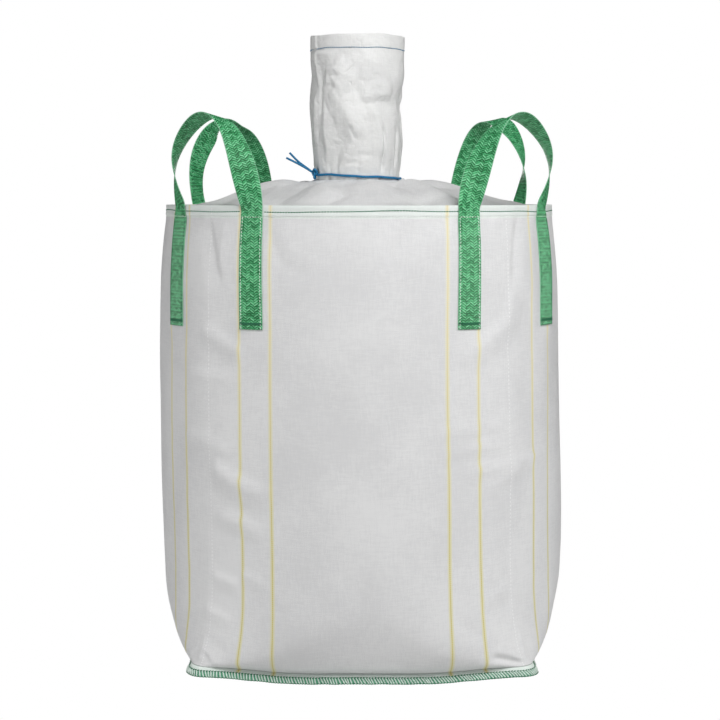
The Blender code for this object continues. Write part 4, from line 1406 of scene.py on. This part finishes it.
def many_tubes(name, lines, radius, material, slot, sides=5):
    """Thin threads along many lines of the same count of points, as one mesh."""
    count, length = lines.shape[:2]
    tangent = unit(np.gradient(lines, axis=1))
    first = unit(np.cross(tangent, np.array([0.31, 0.17, 0.93])))
    second = np.cross(tangent, first)
    turn = full_turn(sides)
    spread = np.cos(turn)[:, None] * first[:, :, None] + np.sin(turn)[:, None] * second[:, :, None]
    points = lines[:, :, None] + spread * radius
    ring, around = np.meshgrid(np.arange(length - 1), np.arange(sides), indexing="ij")
    after = (around + 1) % sides
    quads = np.stack([ring * sides + around, (ring + 1) * sides + around, (ring + 1) * sides + after,
                      ring * sides + after], axis=-1).reshape(-1, 4)
    each = length * sides
    faces = (quads[None] + each * np.arange(count)[:, None, None]).reshape(-1, 4).tolist()
    faces += [[index * each + corner for corner in range(sides)] for index in range(count)]
    faces += [[index * each + each - 1 - corner for corner in range(sides)] for index in range(count)]
    along = np.repeat(np.cumsum(np.linalg.norm(np.diff(lines, axis=1, prepend=lines[:, :1]), axis=2), axis=1),
                      sides, axis=1)
    round_thread = np.broadcast_to(np.tile(turn * radius, length), along.shape)
    cloth = np.stack([round_thread, along], axis=-1).reshape(-1, 2)
    corners = np.array([corner for face in faces for corner in face])
    piece = make_mesh(name, points.reshape(-1, 3), faces, cloth[corners])
    dress(piece, material, slot)


many_tubes("overlock_loops", overlock_loops(overlock_angles, 1.5), 0.0020, mint_thread, "body_cloth")


def seam_chain(name, share, off, wobble, radius, material):
    """A thread that runs all along the seam, with a small scallop at each stitch."""
    angles, length = even_directions(0.0030)
    phase = np.linspace(0.0, 2.0 * math.pi * len(overlock_angles), len(angles), endpoint=False)
    line = seam_skirt(angles, share + wobble * np.sin(phase), off + 0.0004 * np.cos(phase))
    line[..., 2] = np.maximum(line[..., 2], radius + 0.0001)
    piece = tube(name, line, radius, sides=6, closed=True)
    dress(piece, material, "body_cloth")


seam_chain("overlock_upper_chain", 0.635, 0.0022, 0.040, 0.0013, dark_green_thread)
seam_chain("overlock_edge_chain", -0.01, 0.0022, 0.02, 0.0012, dark_green_thread)

# %% [markdown]
# ### Blue row on the spout
# The spout's hem is closed by one row of blue stitches, which wanders up and down a little.

# %% Spout stitches
spout_count = round(2.0 * math.pi * SPOUT_RADIUS / 0.0068)
row_angles = full_turn(spout_count)
row_level = 1.7012 + 0.0007 * np.sin(5.0 * row_angles) + 0.0005 * np.sin(11.0 * row_angles + 1.0)
middle = spout_point(row_angles, row_level)
ahead = spout_point(row_angles + 0.004, row_level) - middle
out = on_circle(row_angles, 1.0, 0.0)
stitch_row("spout_stitches", middle, ahead, out, 0.0067, 0.0013, blue_thread, "spout_cloth")

# %% [markdown]
# ## Studio
# A white cloth object on white needs soft light with a clear side, or it is flat. A large light from above,
# a little to the right, gives the form, and a weak low one at each side keeps the shadows open. One more
# behind the bag lights its back, for whoever walks round it, and can't be told from the front. The camera
# sees surroundings and floor as pure white, as in a catalogue picture, while they light the bag less than
# that, so both have one strength for the camera and another for everything else. The plain view transform
# keeps white paper white, where a film-like one would grey it.

# %% Floor, lights and surroundings
floor_mesh = bpy.data.meshes.new("studio_floor")
floor_mesh.from_pydata([(-30, -30, 0), (30, -30, 0), (30, 30, 0), (-30, 30, 0)], [], [(0, 1, 2, 3)])
floor = bpy.data.objects.new("studio_floor", floor_mesh)
bpy.context.scene.collection.objects.link(floor)
floor_paint = bpy.data.materials.new("studio_white")
floor_paint.use_nodes = True
floor_graph = Graph(floor_paint.node_tree)
floor_shader = floor_paint.node_tree.nodes["Principled BSDF"]
floor_shader.inputs["Base Color"].default_value = (0.85, 0.85, 0.85, 1.0)
floor_shader.inputs["Roughness"].default_value = 0.9
floor_shader.inputs["Specular IOR Level"].default_value = 0.1
paper = floor_graph.node("ShaderNodeEmission", {"Color": (1.0, 1.0, 1.0, 1.0), "Strength": 1.0})
seen = floor_graph.node("ShaderNodeLightPath").outputs["Is Camera Ray"]
both = floor_graph.node("ShaderNodeMixShader", {0: seen, 1: floor_shader.outputs[0], 2: paper.outputs[0]})
floor_graph.feed(floor_paint.node_tree.nodes["Material Output"].inputs["Surface"], both.outputs[0])
floor_mesh.materials.append(floor_paint)


def area_light(name, place, target, size, watts):
    """A square soft light that looks at a target."""
    lamp = bpy.data.lights.new(name, "AREA")
    lamp.shape = "SQUARE"
    lamp.size = size
    lamp.energy = watts
    holder = bpy.data.objects.new(name, lamp)
    holder.location = place
    holder.rotation_euler = (Vector(target) - Vector(place)).to_track_quat("-Z", "Y").to_euler()
    bpy.context.scene.collection.objects.link(holder)


KEY_WATTS, LEFT_WATTS, RIGHT_WATTS, BACK_WATTS, SURROUNDINGS = 194.0, 76.0, 50.0, 80.0, 0.03
area_light("key_light", (1.26, -3.46, 4.48), (0.0, 0.0, 0.8), 2.4, KEY_WATTS)
area_light("left_light", (-4.78, -1.74, 1.88), (0.0, 0.0, 0.8), 2.4, LEFT_WATTS)
area_light("right_light", (4.78, -1.74, 1.88), (0.0, 0.0, 0.8), 2.4, RIGHT_WATTS)
area_light("back_light", (0.0, 4.90, 0.95), (0.0, 0.0, 0.7), 1.8, BACK_WATTS)

world = bpy.data.worlds.new("studio_surroundings")
world.use_nodes = True
world_graph = Graph(world.node_tree)
background = world.node_tree.nodes["Background"]
background.inputs["Color"].default_value = (1.0, 1.0, 1.0, 1.0)
seen = world_graph.node("ShaderNodeLightPath").outputs["Is Camera Ray"]
strength = world_graph.range(seen, 0.0, 1.0, SURROUNDINGS, 1.0, smooth=False)
world_graph.feed(background.inputs["Strength"], strength)
bpy.context.scene.world = world
bpy.context.scene.view_settings.view_transform = "Standard"
